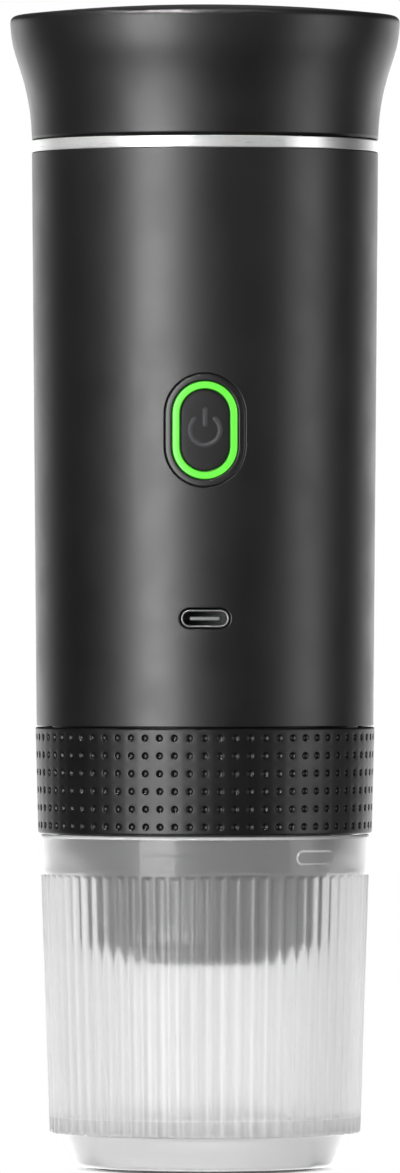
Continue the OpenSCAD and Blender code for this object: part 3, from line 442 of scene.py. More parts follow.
# Light guide: a clear green acrylic, lit from behind by four lamps, so that it glows evenly.
glow, tree, place = new_material("lit_green_acrylic")
surfaced(tree, {
    "Base Color": linear("#0c3a06"), "Roughness": 0.3, "Emission Strength": 0.95,
    "Emission Color": between(tree, noise(tree, place, 6, 1), "#6ef648", "#7dfe58")})
ring = [(0, RING_BACK), (0, 0.4), (0.07, 0.27), (0.2, 0.18), (0.4, RING_FACE),
        (RING_BAND - 0.4, RING_FACE), (RING_BAND - 0.2, 0.18), (RING_BAND - 0.07, 0.27),
        (RING_BAND, 0.4), (RING_BAND, RING_BACK)]
LIT_BANDS = (3, 4, 5)
guide = finished("light_guide", *banded(RING_W, RING_H, BUTTON_Z, ring, on_shell, True), glow,
                 "machine_body", "light_green", "light_ring")
# The guide's rounded edges and sides let out less light, so that the glow fades at its border.
guide.data.materials.append(moulded("dim_green_acrylic", "#2c8a18", "#349c1e", 0.3, 0.8, 0.002))
band_faces = len(guide.data.polygons) // len(ring)
for i, face in enumerate(guide.data.polygons):
    face.material_index = 0 if i // band_faces in LIT_BANDS else 1

# Satin black of the cap: lighter and duller than the rim.
cap_black = moulded("satin_black_cap", "#1d1c1d", "#212021", 0.55, 0.6, 0.004, {"IOR": 1.4})
cap = [(0, CAP_BACK), (0, 0.55), (0.06, 0.39), (0.2, 0.29)]
cap += [(inset, CAP_FACE) for inset in (0.45, 1.2, 2.2, 3.2, 4.1, 4.5)]
finished("button_face", *banded(CAP_W, CAP_H, BUTTON_Z, cap, on_shell, False), cap_black,
         "button", "button_black", "button_cap")


def stroke(points):
    """A raised stroke along points of the cap's face, with round ends, as points and faces."""
    half = MARK_STROKE / 2
    path = [Vector(p) for p in points]
    ways = [(b - a).normalized() for a, b in zip(path, path[1:])]
    ways.append(ways[-1])
    # How far out each station of a round end lies, and its half width, which stays above zero at the tip
    ends = [(half * share, half * math.sqrt(1.0001 - share * share)) for share in (1.0, 0.9, 0.7, 0.4)]
    stations = [(path[0] - ways[0] * far, ways[0], w) for far, w in ends]
    stations += [(p, way, half) for p, way in zip(path, ways)]
    stations += [(path[-1] + ways[-1] * far, ways[-1], w) for far, w in ends[::-1]]
    verts, faces = [], []
    for middle, way, w in stations:
        side = Vector((-way.y, way.x)) * w
        for depth in (MARK_PROUD, MARK_BACK):
            for p in (middle + side, middle - side):
                verts.append(on_shell(p.x, BUTTON_Z + p.y, depth))
    for i in range(len(stations) - 1):
        a, b = 4 * i, 4 * i + 4
        faces += [(a, a + 1, b + 1, b), (a + 2, a + 3, b + 3, b + 2)]
        faces += [(a, b, b + 2, a + 2), (a + 1, b + 1, b + 3, a + 3)]
    last = 4 * (len(stations) - 1)
    return verts, faces + [(0, 1, 3, 2), (last, last + 1, last + 3, last + 2)]


# Pad print: a matt grey ink, a shade lighter than the cap.
grey_ink = moulded("grey_pad_print", "#3e3d40", "#444346", 0.55, 0.3, 0.003)
turns = [math.radians(MARK_GAP + (360 - 2 * MARK_GAP) * i / MARK_STEPS) for i in range(MARK_STEPS + 1)]
circle = [(MARK_R * math.sin(t), MARK_R * math.cos(t)) for t in turns]
finished("mark_circle", *stroke(circle), grey_ink, "button", "button_black")
mark_bar_h = MARK_BAR_HIGH - MARK_BAR_LOW
bar = [(0, MARK_BAR_LOW + mark_bar_h * i / MARK_BAR_STEPS) for i in range(MARK_BAR_STEPS + 1)]
finished("mark_bar", *stroke(bar), grey_ink, "button", "button_black")


# Tank and neck: the steel water tank in its felt, hung from the threaded neck that stands out of the shell.
# The tank is spun from stainless steel, and the neck moulded and bonded to the shell.

dress(dark_moulding, "tank_neck", "tank_outlet")
dress(spun_steel, "tank_cup")
dress(white_seal, "tank_gasket")


# Trim ring: the bright band between the shell and the lid.
# Turned from aluminium and satin-finished, slipped over the neck and held down on the shell.

TRIM_LOW, TRIM_HIGH, TRIM_R, TRIM_BORE = 192.4, 194.6, 32.9, 27.8
TRIM_ROUND, TRIM_BORE_ROUND = 0.2, 0.1


def lathe(profile, steps=256):
    """Points and faces of a closed profile of radius and height, turned about the axis."""
    verts, rings, faces = [], [], []
    ways = [(math.sin(math.tau * i / steps), -math.cos(math.tau * i / steps)) for i in range(steps)]
    for r, z in profile:
        if r == 0:
            rings.append([len(verts)] * steps)
            verts.append((0, 0, z))
        else:
            rings.append(range(len(verts), len(verts) + steps))
            verts += [(r * x, r * y, z) for x, y in ways]
    for a, b in zip(rings, rings[1:] + rings[:1]):
        for i in range(steps):
            j = (i + 1) % steps
            corners = list(dict.fromkeys((a[i], a[j], b[j], b[i])))
            if len(corners) > 2:
                faces.append(corners)
    return verts, faces


def filleted(corners, steps=5):
    """A closed outline of corners (x, y, radius), with an arc at each corner that has a radius."""
    outline = []
    for i, (x, y, radius) in enumerate(corners):
        here = Vector((x, y))
        if radius == 0:
            outline.append((x, y))
            continue
        a = (Vector(corners[i - 1][:2]) - here).normalized()
        b = (Vector(corners[(i + 1) % len(corners)][:2]) - here).normalized()
        half = a.angle(b) / 2
        centre = here + (a + b).normalized() * radius / math.sin(half)
        first = here + a * radius / math.tan(half) - centre
        last = here + b * radius / math.tan(half) - centre
        outline += [tuple(centre + first.slerp(last, k / steps) * radius) for k in range(steps + 1)]
    return outline


def weighted(piece):
    """Keeps broad faces flat in the shading where they meet a small round."""
    normals = piece.modifiers.new("broad_faces", "WEIGHTED_NORMAL")
    normals.weight = 100


# Bead-blasted aluminium: a pale metal, part matt from the blasting, so that it never reflects all dark.
satin_aluminium = worked_metal("bead_blasted_aluminium", "#e9e9ea", "#f2f2f2", 0.32, 0.12, metallic=0.58)
trim_outline = filleted([
    (TRIM_BORE, TRIM_LOW, TRIM_BORE_ROUND), (TRIM_R, TRIM_LOW, TRIM_ROUND),
    (TRIM_R, TRIM_HIGH, TRIM_ROUND), (TRIM_BORE, TRIM_HIGH, TRIM_BORE_ROUND)])
trim = finished("trim", *lathe(trim_outline), satin_aluminium, "machine_body", "silver_trim", "trim_ring")
weighted(trim)


# Lid: the flared cover that screws on the neck, with its threaded liner, its seal and a vent valve.
# Moulded in charcoal plastic with a satin skin. The liner is bonded in, and the lid turns on the seal.

LID_LOW, LID_HIGH, LID_FOOT_R, LID_RIM_R = 194.85, 220.25, 32.9, 37.0
LID_WALL, LID_TOP_T, LIP_ROUND, LIP_Z = 2.0, 2.0, 19.0, 216.75
EDGE_ROUND, DOME, DOME_R = 1.2, 1.5, 325.0
HOLLOW_STEPS, LIP_STEPS, SOFTENINGS = 24, 16, 24
CORNER_GAP = 0.2


def arc(x, y, r, start, end, steps):
    """Points on an arc, from one angle to another in degrees."""
    turns = [math.radians(start + (end - start) * i / steps) for i in range(steps + 1)]
    return [Vector((x + r * math.cos(t), y + r * math.sin(t))) for t in turns]


rise = LIP_Z - LID_LOW
lean = 2 * math.degrees(math.atan((LID_RIM_R - LID_FOOT_R) / rise))
hollow_r = rise / math.sin(math.radians(lean)) - LIP_ROUND


def flare(inset):
    """The lid's side: a hollow arc that runs softly into a full one under the rim, set in by a wall."""
    side = arc(LID_FOOT_R + hollow_r, LID_LOW, hollow_r + inset, 180, 180 - lean, HOLLOW_STEPS)
    side += arc(LID_RIM_R - LIP_ROUND, LIP_Z, LIP_ROUND - inset, -lean, 0, LIP_STEPS)[1:]
    for _ in range(SOFTENINGS):
        middles = [(a + 2 * b + c) / 4 for a, b, c in zip(side, side[1:], side[2:])]
        side = [side[0], *middles, side[-1]]
    return side


edge_x = LID_RIM_R - EDGE_ROUND
edge_z = LID_HIGH - DOME_R + math.sqrt((DOME_R - EDGE_ROUND) ** 2 - edge_x ** 2)
dome_end = 90 - math.degrees(math.asin(edge_x / (DOME_R - EDGE_ROUND)))
ceiling = LID_HIGH - DOME - LID_TOP_T
inside = [p for p in flare(LID_WALL) if p[1] < ceiling - CORNER_GAP]
cover = flare(0) + arc(edge_x, edge_z, EDGE_ROUND, 0, dome_end, 10)
cover += arc(0, LID_HIGH - DOME_R, DOME_R, dome_end, 90, 10)[1:-1]
cover += [(0, LID_HIGH), (0, ceiling), (inside[-1][0], ceiling)] + inside[::-1]
# Satin plastic: the shell's near-black and its soft gloss, so that the two look alike.
lid_skin = moulded("satin_charcoal_plastic", "#0c0c0c", "#0f0f0f", 0.43, 0.7, 0.004, {"IOR": 1.7})
lid_cover = finished("lid_cover", *lathe(cover), lid_skin, "lid", "lid_cover", "lid_shell")
weighted(lid_cover)
dress(dark_moulding, "lid_liner")
dress(white_seal, "lid_seal", "vent_valve")


# Grip collar: the nut that clamps the chamber to the brew head, with rows of dimples for wet hands.
# Moulded in near-black plastic with a fine matt skin. Its inside thread draws the chamber's flange up.

COLLAR_LOW, COLLAR_HIGH, COLLAR_LOW_R, COLLAR_HIGH_R = 63.25, 83.35, 31.7, 32.2
COLLAR_BORE, COLLAR_LIP_R, COLLAR_LIP_TOP = 30.3, 28.2, 64.85
COLLAR_ROUND, COLLAR_LIP_ROUND, COLLAR_END = 0.4, 0.2, 0.55
DIMPLE_COLUMNS, DIMPLE_R, DIMPLE_DEPTH = 70, 0.67, 0.42
DIMPLE_LOW, DIMPLE_PITCH = 64.85, 3.34
DIMPLE_ROWS = [DIMPLE_LOW + DIMPLE_PITCH * i for i in range(6)]
# The rings of a dimple from outside its rim to near its middle, as shares of its radius and of its depth
DIMPLE_RINGS = ((1.18, 0), (1.06, 0.03), (0.94, 0.14), (0.78, 0.52), (0.55, 0.8), (0.28, 0.95))
RIDGE_STARTS, RIDGE_FROM, RIDGE_TURNS, RIDGE_LEAD, RIDGE_Z = 3, 63, 0.25, 12.0, 73.825
RIDGE_H, RIDGE_SINK, RIDGE_ROOT_W, RIDGE_CREST_W, RIDGE_ROUND = 1.0, 0.4, 2.0, 1.0, 0.15
WELD = 0.004


def collar_r(z):
    """The collar's outside radius at a height."""
    return COLLAR_LOW_R + (COLLAR_HIGH_R - COLLAR_LOW_R) * (z - COLLAR_LOW) / (COLLAR_HIGH - COLLAR_LOW)


def collar_slice():
    """One column of dimples and the wall behind it, as a slice that repeats round the axis."""
    verts, faces = [], []
    half = math.pi / DIMPLE_COLUMNS

    def point(r, turn, z):
        verts.append((r * math.sin(turn), -r * math.cos(turn), z))
        return len(verts) - 1

    # Each cell runs from a dimple's middle to the cell's edge, which has five points a side
    shares = [-1, -0.5, 0, 0.5, 1]
    rims = [(a + b) / 2 for a, b in zip(DIMPLE_ROWS, DIMPLE_ROWS[1:])]
    rims = [COLLAR_LOW + COLLAR_END] + rims + [COLLAR_HIGH - COLLAR_END]
    for middle, low, high in zip(DIMPLE_ROWS, rims, rims[1:]):
        edge = [(s, low) for s in shares[:-1]]
        edge += [(1, low + (high - low) * (s + 1) / 2) for s in shares[:-1]]
        edge += [(-s, high) for s in shares[:-1]]
        edge += [(-1, high - (high - low) * (s + 1) / 2) for s in shares[:-1]]
        outer = [point(collar_r(z), s * half, z) for s, z in edge]
        ways = [math.atan2(z - middle, s * half * collar_r(middle)) for s, z in edge]
        for grow, depth in DIMPLE_RINGS:
            inner = []
            for way in ways:
                across = DIMPLE_R * grow * math.cos(way)
                z = middle + DIMPLE_R * grow * math.sin(way)
                inner.append(point(collar_r(z) - DIMPLE_DEPTH * depth, across / collar_r(middle), z))
            faces += [(outer[i - 1], outer[i], inner[i], inner[i - 1]) for i in range(len(edge))]
            outer = inner
        tip = point(collar_r(middle) - DIMPLE_DEPTH, 0, middle)
        faces += [(outer[i - 1], outer[i], tip) for i in range(len(edge))]
    # The edges, the lip and the bore, from the lowest cell round to the highest
    bottom = arc(COLLAR_LOW_R - COLLAR_ROUND, COLLAR_LOW + COLLAR_ROUND, COLLAR_ROUND, 0, -90, 4)
    bore = filleted([
        (COLLAR_LOW_R - COLLAR_ROUND, COLLAR_LOW, 0), (COLLAR_LIP_R, COLLAR_LOW, COLLAR_LIP_ROUND),
        (COLLAR_LIP_R, COLLAR_LIP_TOP, COLLAR_LIP_ROUND), (COLLAR_BORE, COLLAR_LIP_TOP, 0),
        (COLLAR_BORE, COLLAR_HIGH, 0)], steps=2)
    top = arc(COLLAR_HIGH_R - COLLAR_ROUND, COLLAR_HIGH - COLLAR_ROUND, COLLAR_ROUND, 0, 90, 4)
    outline = [(collar_r(rims[0]), rims[0])] + bottom + bore[1:] + top[::-1]
    outline.append((collar_r(rims[-1]), rims[-1]))
    strips = [[point(r, s * half, z) for s in shares] for r, z in outline]
    for a, b in zip(strips, strips[1:]):
        faces += [(a[i], a[i + 1], b[i + 1], b[i]) for i in range(len(shares) - 1)]
    return verts, faces


def computed(tree, operation, a, b):
    """The result of two values or sockets."""
    return add(tree, "ShaderNodeMath", {0: a, 1: b}, operation=operation).outputs[0]


def repeat_round_tree():
    """A node tree that repeats a slice round the axis and joins the copies to one skin."""
    tree = bpy.data.node_groups.new("repeat_round", "GeometryNodeTree")
    sockets = {"Slice": "NodeSocketGeometry", "Count": "NodeSocketInt", "Weld": "NodeSocketFloat",
               "Finish": "NodeSocketMaterial"}
    for name, kind in sockets.items():
        tree.interface.new_socket(name, in_out="INPUT", socket_type=kind)
    tree.interface.new_socket("Piece", in_out="OUTPUT", socket_type="NodeSocketGeometry")
    given = add(tree, "NodeGroupInput", {}).outputs
    places = add(tree, "GeometryNodePoints", {"Count": given["Count"]})
    index = add(tree, "GeometryNodeInputIndex", {})
    turn = computed(tree, "MULTIPLY", index.outputs[0], computed(tree, "DIVIDE", math.tau, given["Count"]))
    spin = add(tree, "ShaderNodeCombineXYZ", {"Z": turn})
    facing = add(tree, "FunctionNodeEulerToRotation", {"Euler": spin.outputs[0]})
    copies = add(tree, "GeometryNodeInstanceOnPoints", {
        "Points": places.outputs[0], "Instance": given["Slice"], "Rotation": facing.outputs[0]})
    real = add(tree, "GeometryNodeRealizeInstances", {"Geometry": copies.outputs[0]})
    welded = add(tree, "GeometryNodeMergeByDistance", {
        "Geometry": real.outputs[0], "Distance": given["Weld"]})
    dressed = add(tree, "GeometryNodeSetMaterial", {
        "Geometry": welded.outputs[0], "Material": given["Finish"]})
    add(tree, "NodeGroupOutput", {"Piece": dressed.outputs[0]})
    return tree


repeat_round = repeat_round_tree()


def repeated(verts, faces, count, material):
    """The points and faces, in mm, of a slice repeated round the axis by the node tree."""
    mesh = bpy.data.meshes.new("slice")
    mesh.from_pydata([[c * MM for c in v] for v in verts], [], faces)
    piece = bpy.data.objects.new("slice", mesh)
    bpy.context.scene.collection.objects.link(piece)
    modifier = piece.modifiers.new("round", "NODES")
    modifier.node_group = repeat_round
    values = {"Count": count, "Weld": WELD * MM, "Finish": material}
    for socket in repeat_round.interface.items_tree:
        if socket.name in values:
            modifier[socket.identifier] = values[socket.name]
    evaluated = piece.evaluated_get(bpy.context.evaluated_depsgraph_get())
    whole = bpy.data.meshes.new_from_object(evaluated)
    bpy.data.objects.remove(piece)
    return [[c / MM for c in v.co] for v in whole.vertices], [tuple(f.vertices) for f in whole.polygons]


def collar_thread():
    """The ridges of the inside thread, which fade out at both ends, with their roots sunk in the wall."""
    steps, fade, least = 24, 5, 0.3
    verts, faces = [], []
    for start in range(RIDGE_STARTS):
        first = len(verts)
        for i in range(steps + 1):
            share = RIDGE_TURNS * (i / steps - 0.5)
            turn = math.radians(RIDGE_FROM + 360 * (start / RIDGE_STARTS + share))
            middle = RIDGE_Z + RIDGE_LEAD * share
            root = COLLAR_BORE + RIDGE_SINK
            crest = COLLAR_BORE - RIDGE_H * max(least, min(1, i / fade, (steps - i) / fade))
            for r, high in ((root, RIDGE_ROOT_W / 2), (crest, RIDGE_CREST_W / 2),
                            (crest, -RIDGE_CREST_W / 2), (root, -RIDGE_ROOT_W / 2)):
                verts.append((r * math.cos(turn), r * math.sin(turn), middle + high))
        for i in range(steps):
            a, b = first + 4 * i, first + 4 * i + 4
            faces += [(a + k, a + (k + 1) % 4, b + (k + 1) % 4, b + k) for k in range(4)]
        last = first + 4 * steps
        faces += [tuple(range(first, first + 4)), tuple(range(last, last + 4))]
    return verts, faces


# Grip plastic: darker and a little duller than the shell, with a fine spark-eroded skin.
grip_plastic = moulded("spark_eroded_plastic", "#070707", "#090909", 0.43, 0.35, 0.006, {"IOR": 1.6})
finished("grip", *repeated(*collar_slice(), DIMPLE_COLUMNS, grip_plastic), grip_plastic,
         "collar", "grip_rubber", "grip_collar")
thread = finished("grip_thread", *collar_thread(), grip_plastic, "collar", "grip_rubber")
round_edges(thread, RIDGE_ROUND, segments=2, angle=30)


# Coffee chamber: the dark pot under the collar, with the spigot for the cup and the steel basket inside.
# Moulded in grey plastic. The basket drops in on its seal, the spout is pressed into the floor, and the
# cup's seal ring is stretched over the spigot.

POT_LOW, POT_FLOOR, POT_SIDE_LOW, POT_BORE_LOW = 38.45, 40.25, 42.05, 43.2
SPIGOT_LOW, SPIGOT_ROOT, FLANGE_LOW, BASKET_SEAT, FLANGE_HIGH = 56.0, 62.85, 64.85, 66.05, 67.25
SPOUT_R, FLAT_R, POT_LOW_R, POT_HIGH_R, POT_BORE = 3.0, 12.5, 22.5, 23.4, 20.7
SPIGOT_BORE, SPIGOT_R, FLANGE_R, SEAT_R = 25.9, 27.9, 29.0, 21.6

chamber_outline = filleted([
    (SPOUT_R, POT_LOW, 0), (FLAT_R, POT_LOW, 6), (POT_LOW_R, POT_SIDE_LOW, 1.5),
    (POT_HIGH_R, SPIGOT_ROOT, 0.4), (SPIGOT_BORE, SPIGOT_ROOT, 0.4),
    (SPIGOT_BORE, SPIGOT_LOW, 0.3), (SPIGOT_R, SPIGOT_LOW, 0.4),
    (SPIGOT_R, FLANGE_LOW, 0.2), (FLANGE_R, FLANGE_LOW, 0.3), (FLANGE_R, FLANGE_HIGH, 0.3),
    (SEAT_R, FLANGE_HIGH, 0.15), (SEAT_R, BASKET_SEAT, 0), (POT_BORE, BASKET_SEAT, 0.15),
    (POT_BORE, POT_BORE_LOW, 0), (FLAT_R, POT_FLOOR, 0), (SPOUT_R, POT_FLOOR, 0)], steps=8)
# Polypropylene: a dark grey with a strong soft sheen, which shows the lamps as broad lights on its sides.
chamber_grey = moulded("grey_polypropylene", "#171718", "#1c1c1d", 0.46, 0.8, 0.001, {"IOR": 1.85})
chamber = finished("chamber", *lathe(chamber_outline, steps=192), chamber_grey,
                   "brew_chamber", "chamber_grey", "brew_chamber")
weighted(chamber)
dress(spun_steel, "coffee_basket")
dress(white_seal, "basket_seal")
dress(chamber_grey, "outlet_spout")
# Dark silicone of the cup's seal ring: near-black and soft.
dress(moulded("dark_silicone", "#2a2a2c", "#333335", 0.45, 0.6, 0.01), "cup_seal_ring")


# Cup: the frosted beaker that the machine stands on and that is drunk from, with upright ribs for grip.
# Moulded in a clear copolyester whose skin is etched to a frost. It pushes over the spigot's seal ring.

RIBS, FLUTE_DEPTH, FLUTE_TOP = 70, 0.5, 55.6
CUP_HIGH, CUP_RIM_R, CUP_LOW_R, CUP_BORE, BORE_LOW = 63.0, 31.35, 29.5, 28.2, 56.0
FOOT_H, FOOT_LOW_R, FOOT_HIGH_R, FOOT_ROUND = 6.4, 24.68, 27.35, 1.5
FLOOR_TOP, FLOOR_ROUND = 9.4, 0.8
BAND_LOW, BAND_ROW, BAND_ROWS = 56, 0.2, 32
# The radius that parts the rim band's outside from its bore, and the hole in the slices' floor
BAND_INSIDE, HUB_R = 30.5, 1.2
LOCK_TURN, LOCK_Z, LOCK_W, LOCK_H = math.radians(42), 59.0, 9.5, 2.7
# The lock mark's height, the width of its slope, and the width of its white edge, which is a painted
# highlight
LOCK_RISE, LOCK_SLOPE, LOCK_HIGHLIGHT_EDGE = 0.3, 0.4, 0.3
# Where the white lip, a painted highlight, begins, and where the foot's and the floor's faces end
HIGHLIGHT_LIP_FROM, FOOT_TO, FLOOR_TO = 62.4, 6.35, 9.3


def cup_side(z):
    """The cup's outside radius over its ribs."""
    return CUP_LOW_R + (CUP_RIM_R - CUP_LOW_R) * (z - FOOT_H) / (CUP_HIGH - FOOT_H)


def cup_slice():
    """One flute with half a rib at each side, and the wall, floor and foot behind it. The points of the
    outline are radius, height and the share of the flute's depth that is cut there."""
    half = math.pi / RIBS
    flute_r = half * CUP_LOW_R
    wide = math.sqrt(flute_r ** 2 - (flute_r - FLUTE_DEPTH) ** 2)
    steps = [0, 0.18, 0.36, 0.54, 0.7, 0.84, 0.95, 1.06]
    across = [-flute_r] + [-wide * s for s in steps[::-1]] + [wide * s for s in steps[1:]] + [flute_r]
    # The foot, and the step out from it to the ribs
    foot_edge = filleted([(22.0, 0.0, 0), (FOOT_LOW_R, 0.0, FOOT_ROUND), (FOOT_HIGH_R, 6.05, 0)], steps=6)
    outline = [(r, z, 0) for r, z in foot_edge[1:]] + [(27.55, 6.3, 0), (27.9, FOOT_H, 0)]
    outline += [(cup_side(FOOT_H) - 0.25, FOOT_H, 1), (cup_side(6.65), 6.65, 1)]
    # The ribs, and the flutes' round ends under the rim band
    outline += [(cup_side(z), z, 1) for z in (7.2, 9.4, 14, 20, 28, 36, 44, 52, 54.6)]
    flute_ends = ((54.9, 0.93), (55.15, 0.7), (55.35, 0.35), (55.5, 0.08), (FLUTE_TOP, 0))
    outline += [(cup_side(z), z, depth) for z, depth in flute_ends]
    # The rim band, in narrow rows that the lock mark is raised on, and the rounded lip
    band = [BAND_LOW + BAND_ROW * i for i in range(BAND_ROWS + 1)]
    outline += [(cup_side(z), z, 0) for z in band]
    outline += [(CUP_RIM_R - 0.06, 62.75, 0), (CUP_RIM_R - 0.2, 62.92, 0), (CUP_RIM_R - 0.45, CUP_HIGH, 0)]
    # The bore for the spigot, the inside wall and the floor
    outline += [(28.5, CUP_HIGH, 0), (28.28, 62.92, 0), (CUP_BORE, 62.7, 0), (CUP_BORE, BORE_LOW, 0)]
    outline += [(27.4, BORE_LOW, 0), (27.2, 55.8, 0), (26.87, 40, 0), (26.53, 25, 0)]
    outline += [(r, z, 0) for r, z in arc(25.4, FLOOR_TOP + FLOOR_ROUND, FLOOR_ROUND, 0, -90, 4)]
    outline += [(r, FLOOR_TOP, 0) for r in (16, 8, HUB_R)]
    # The underside of the floor and the hollow of the foot
    under = [(r, FOOT_H, 0) for r in (HUB_R, 8, 16, 20.4)]
    under += [(20.75, 6.3, 0), (20.9, 6.0, 0), (21.25, 0.4, 0), (21.4, 0.1, 0), (21.7, 0.0, 0)]
    verts, faces = [], []
    for r, z, depth in outline + under:
        for s in across:
            cut = math.sqrt(max(0, flute_r ** 2 - s * s)) - (flute_r - FLUTE_DEPTH) if abs(s) < wide else 0
            turn = s / flute_r * half
            verts.append(((r - cut * depth) * math.sin(turn), -(r - cut * depth) * math.cos(turn), z))
    n, rows = len(across), len(outline) + len(under)
    for i in range(rows):
        if i == len(outline) - 1:
            continue
        a, b = i * n, (i + 1) % rows * n
        faces += [(a + k, a + k + 1, b + k + 1, b + k) for k in range(n - 1)]
    return verts, faces


def past_lock(turn, r, z):
    """How far a place on the rim band lies outside the lock mark's edge, in mm."""
    along = abs((turn - LOCK_TURN) * r)
    return math.hypot(max(0, along - (LOCK_W - LOCK_H) / 2), z - LOCK_Z) - LOCK_H / 2


def cup_skin(material):
    """The whole cup: the slices, the two middles of its floor, and the lock mark raised on the rim band."""
    verts, faces = repeated(*cup_slice(), RIBS, material)
    for i, (x, y, z) in enumerate(verts):
        r = math.hypot(x, y)
        if z > FLUTE_TOP + 0.1 and r > BAND_INSIDE:
            out = past_lock(math.atan2(x, -y), CUP_RIM_R, z)
            grow = 1 + LOCK_RISE * min(1, max(0, -out / LOCK_SLOPE)) / r
            verts[i] = [x * grow, y * grow, z]
    near = 0.02
    for level in (FLOOR_TOP, FOOT_H):
        hub = [i for i, (x, y, z) in enumerate(verts)
               if abs(math.hypot(x, y) - HUB_R) < near and abs(z - level) < near]
        hub.sort(key=lambda i: math.atan2(verts[i][1], verts[i][0]))
        faces.append(tuple(hub))
    return verts, faces


def frosted(name, low, high, clear):
    """Copolyester with an etched skin under a thin gloss: clear is the share of the light that goes through
    a face, and the rest is haze of the two tones."""
    material, tree, place = new_material(name)
    haze = noise(tree, place, 12, 2)
    surfaced(tree, {
        "Base Color": between(tree, haze, low, high),
        "Roughness": ranged(tree, haze, NOISE_LOW, NOISE_HIGH, 0.278, 0.29),
        "IOR": 1.2,
        "Transmission Weight": clear,
        "Coat Weight": 0.3,
        "Coat Roughness": 0.06})
    return material


# The wall lets most of the light through and veils the rest. The thick foot is cloudier, and the floor is
# as cloudy but dimmer. The lip and the lock mark's edge are a painted highlight: a nearly white, mostly
# opaque frost that stands for the light leaving the wall there.
wall_frost = frosted("frosted_copolyester", "#efefef", "#f4f4f4", 0.91)
beaker = finished("cup_beaker", *cup_skin(wall_frost), wall_frost, "cup", "frosted_cup", "cup")
beaker.data.materials.append(frosted("cloudy_copolyester_foot", "#f8f8f8", "#fafafa", 0.77))
beaker.data.materials.append(frosted("painted_highlight_copolyester_rim", "#e7e7e7", "#eeeeee", 0.2))
beaker.data.materials.append(frosted("dim_copolyester_floor", "#d6d6d6", "#dddddd", 0.77))
WALL_SLOT, FOOT_SLOT, RIM_HIGHLIGHT_SLOT, FLOOR_SLOT = range(4)
for face in beaker.data.polygons:
    r = math.hypot(face.center.x, face.center.y) / MM
    z = face.center.z / MM
    out = past_lock(math.atan2(face.center.x, -face.center.y), r, z)
    # The lip and the lock mark's edge take the painted highlight: a nearly white, mostly opaque frost
    if r > BAND_INSIDE and (z > HIGHLIGHT_LIP_FROM or -LOCK_HIGHLIGHT_EDGE < out < 0):
        face.material_index = RIM_HIGHLIGHT_SLOT
    elif z < FOOT_TO:
        face.material_index = FOOT_SLOT
    elif z < FLOOR_TO:
        face.material_index = FLOOR_SLOT
    else:
        face.material_index = WALL_SLOT


# Studio: a white room, two soft lamps in front of the machine and a gridded one overhead. The paper floor
# gives light back, but the eye sees only a crescent of painted shade on it, at the foot. The camera stands
# level with the middle of the machine, far enough off that its sides look parallel.

FLOOR_HALF, FLOOR_Z = 6, -0.0003
# The crescent of painted shade lies between two rings with soft edges: it fades out beyond one, whose
# middle is in front of the axis, and within the other, whose middle is on it
CRESCENT_MIDDLE, CRESCENT_FROM, CRESCENT_TO = (0, -0.0075, 0), 0.0195, 0.0245
HOLLOW_MIDDLE, HOLLOW_FROM, HOLLOW_TO = (0, 0, 0), 0.0165, 0.0195

floor_mesh = bpy.data.meshes.new("floor")
floor_mesh.from_pydata([
    (-FLOOR_HALF, -FLOOR_HALF, FLOOR_Z), (FLOOR_HALF, -FLOOR_HALF, FLOOR_Z),
    (FLOOR_HALF, FLOOR_HALF, FLOOR_Z), (-FLOOR_HALF, FLOOR_HALF, FLOOR_Z)], [], [(0, 1, 2, 3)])
floor = bpy.data.objects.new("floor", floor_mesh)
bpy.context.scene.collection.objects.link(floor)
floor.visible_glossy = False
floor.visible_shadow = False
# White paper: matt, with a painted shadow in the crescent, where its colour is a darker grey. Elsewhere, and
# wherever it lies behind the cup's wall, it is clear to the eye.
paper, tree, place = new_material("white_paper_floor")
outer = add(tree, "ShaderNodeVectorMath", {0: place, 1: CRESCENT_MIDDLE}, operation="DISTANCE")
inner = add(tree, "ShaderNodeVectorMath", {0: place, 1: HOLLOW_MIDDLE}, operation="DISTANCE")
beyond = ranged(tree, outer.outputs["Value"], CRESCENT_FROM, CRESCENT_TO, 0.0, 1.0)
within = ranged(tree, inner.outputs["Value"], HOLLOW_FROM, HOLLOW_TO, 1.0, 0.0)
ray = add(tree, "ShaderNodeLightPath", {}).outputs
looked_at = computed(tree, "MULTIPLY", ray["Is Camera Ray"], computed(tree, "MAXIMUM", beyond, within))
open_share = computed(tree, "MAXIMUM", looked_at, ray["Is Transmission Ray"])
# The crescent's grey is a painted contact shadow, paling towards its outer edge
sheet = add(tree, "ShaderNodeBsdfDiffuse", {"Color": between(tree, beyond, "#888888", "#d8d8d8")})
clear = add(tree, "ShaderNodeBsdfTransparent", {})
both = add(tree, "ShaderNodeMixShader", {0: open_share, 1: sheet.outputs[0], 2: clear.outputs[0]})
add(tree, "ShaderNodeOutputMaterial", {"Surface": both.outputs[0]})
floor_mesh.materials.append(paper)

# White room: plain white to the eye and through the cup. To all else it is a bright wall low behind the
# machine, which draws the light lines along the machine's sides, and nearly dark elsewhere.
WALL_FROM, WALL_TO, WALL_DARK, WALL_BRIGHT = 0.55, 0.92, 0.01, 2.6
WALL_TOP, WALL_TOP_SHARE = 0.16, 0.03
world = bpy.data.worlds.new("white_room")
world.use_nodes = True
bpy.context.scene.world = world
tree = world.node_tree
tree.nodes.clear()
way = add(tree, "ShaderNodeTexCoord", {})
parts = add(tree, "ShaderNodeSeparateXYZ", {"Vector": way.outputs["Generated"]}).outputs
behind = ranged(tree, parts["Y"], WALL_FROM, WALL_TO, WALL_DARK, WALL_BRIGHT)
low_down = ranged(tree, parts["Z"], 0.0, WALL_TOP, 1.0, WALL_TOP_SHARE)
backdrop = computed(tree, "MULTIPLY", behind, low_down)
ray = add(tree, "ShaderNodeLightPath", {}).outputs
seen = computed(tree, "MAXIMUM", ray["Is Camera Ray"], ray["Is Transmission Ray"])
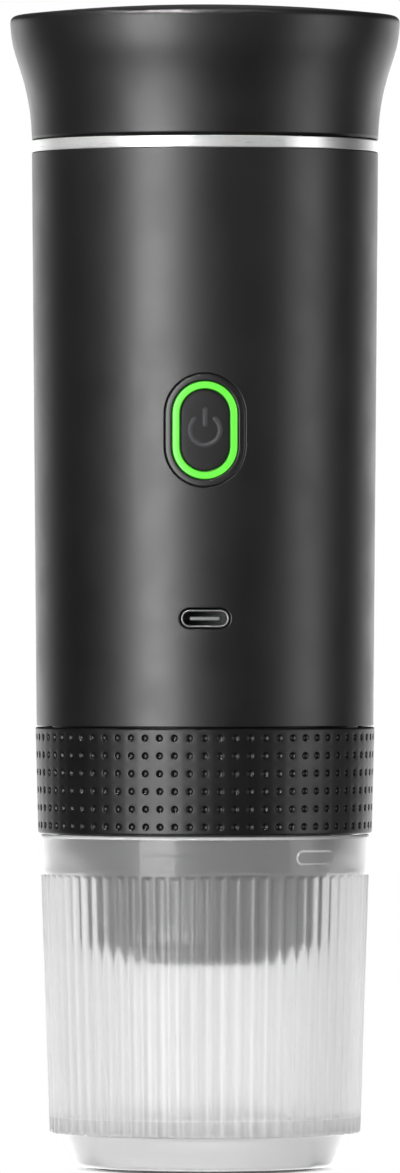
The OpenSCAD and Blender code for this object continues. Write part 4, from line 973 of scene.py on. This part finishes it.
level = add(tree, "ShaderNodeMix", {0: seen, 2: backdrop, 3: 1.0}, data_type="FLOAT")
room = add(tree, "ShaderNodeBackground", {"Color": linear("#ffffff"), "Strength": level.outputs[0]})
add(tree, "ShaderNodeOutputWorld", {"Surface": room.outputs[0]})


def lamp(name, azimuth, distance, height, w, h, watts, aim=0.11, spread=180):
    """A soft rectangular lamp that faces the axis at the height of aim. Azimuth 0 is the camera's side,
    and 90 the right. A spread of less than 180 degrees is a grid in front of it that narrows its beam."""
    turn = math.radians(azimuth)
    light = bpy.data.lights.new(name, "AREA")
    light.shape = "RECTANGLE"
    light.size, light.size_y = w, h
    light.energy = watts
    light.spread = math.radians(spread)
    made = bpy.data.objects.new(name, light)
    made.location = (distance * math.sin(turn), -distance * math.cos(turn), height)
    made.rotation_euler = (Vector((0, 0, aim)) - made.location).to_track_quat("-Z", "Y").to_euler()
    bpy.context.scene.collection.objects.link(made)


lamp("key_lamp", azimuth=-33, distance=0.9, height=0.08, w=0.41, h=0.8, watts=7.7)
lamp("side_lamp", azimuth=72, distance=0.9, height=0.08, w=0.31, h=0.8, watts=2.2)
lamp("top_lamp", azimuth=-33, distance=0.6, height=1.1, w=0.2, h=0.1, watts=0.27, aim=0.27, spread=16)

# The photo's frame: metres a pixel, its height in pixels, the row that the foot stands on, and how many
# pixels right of the middle column the machine's axis is
PIXEL = 0.00019
FRAME_H, FOOT_ROW, AXIS_SHIFT = 1173, 1165.4, 5
DISTANCE, SENSOR = 2.34, 36
lens = bpy.data.cameras.new("camera")
lens.sensor_width = SENSOR
lens.lens = SENSOR * DISTANCE / (FRAME_H * PIXEL)
lens.shift_x = -AXIS_SHIFT / FRAME_H
camera = bpy.data.objects.new("camera", lens)
camera.location = (0, -DISTANCE, (FOOT_ROW - FRAME_H / 2) * PIXEL)
camera.rotation_euler = (math.radians(90), 0, 0)
bpy.context.scene.collection.objects.link(camera)
bpy.context.scene.camera = camera
bpy.context.scene.view_settings.view_transform = "Standard"
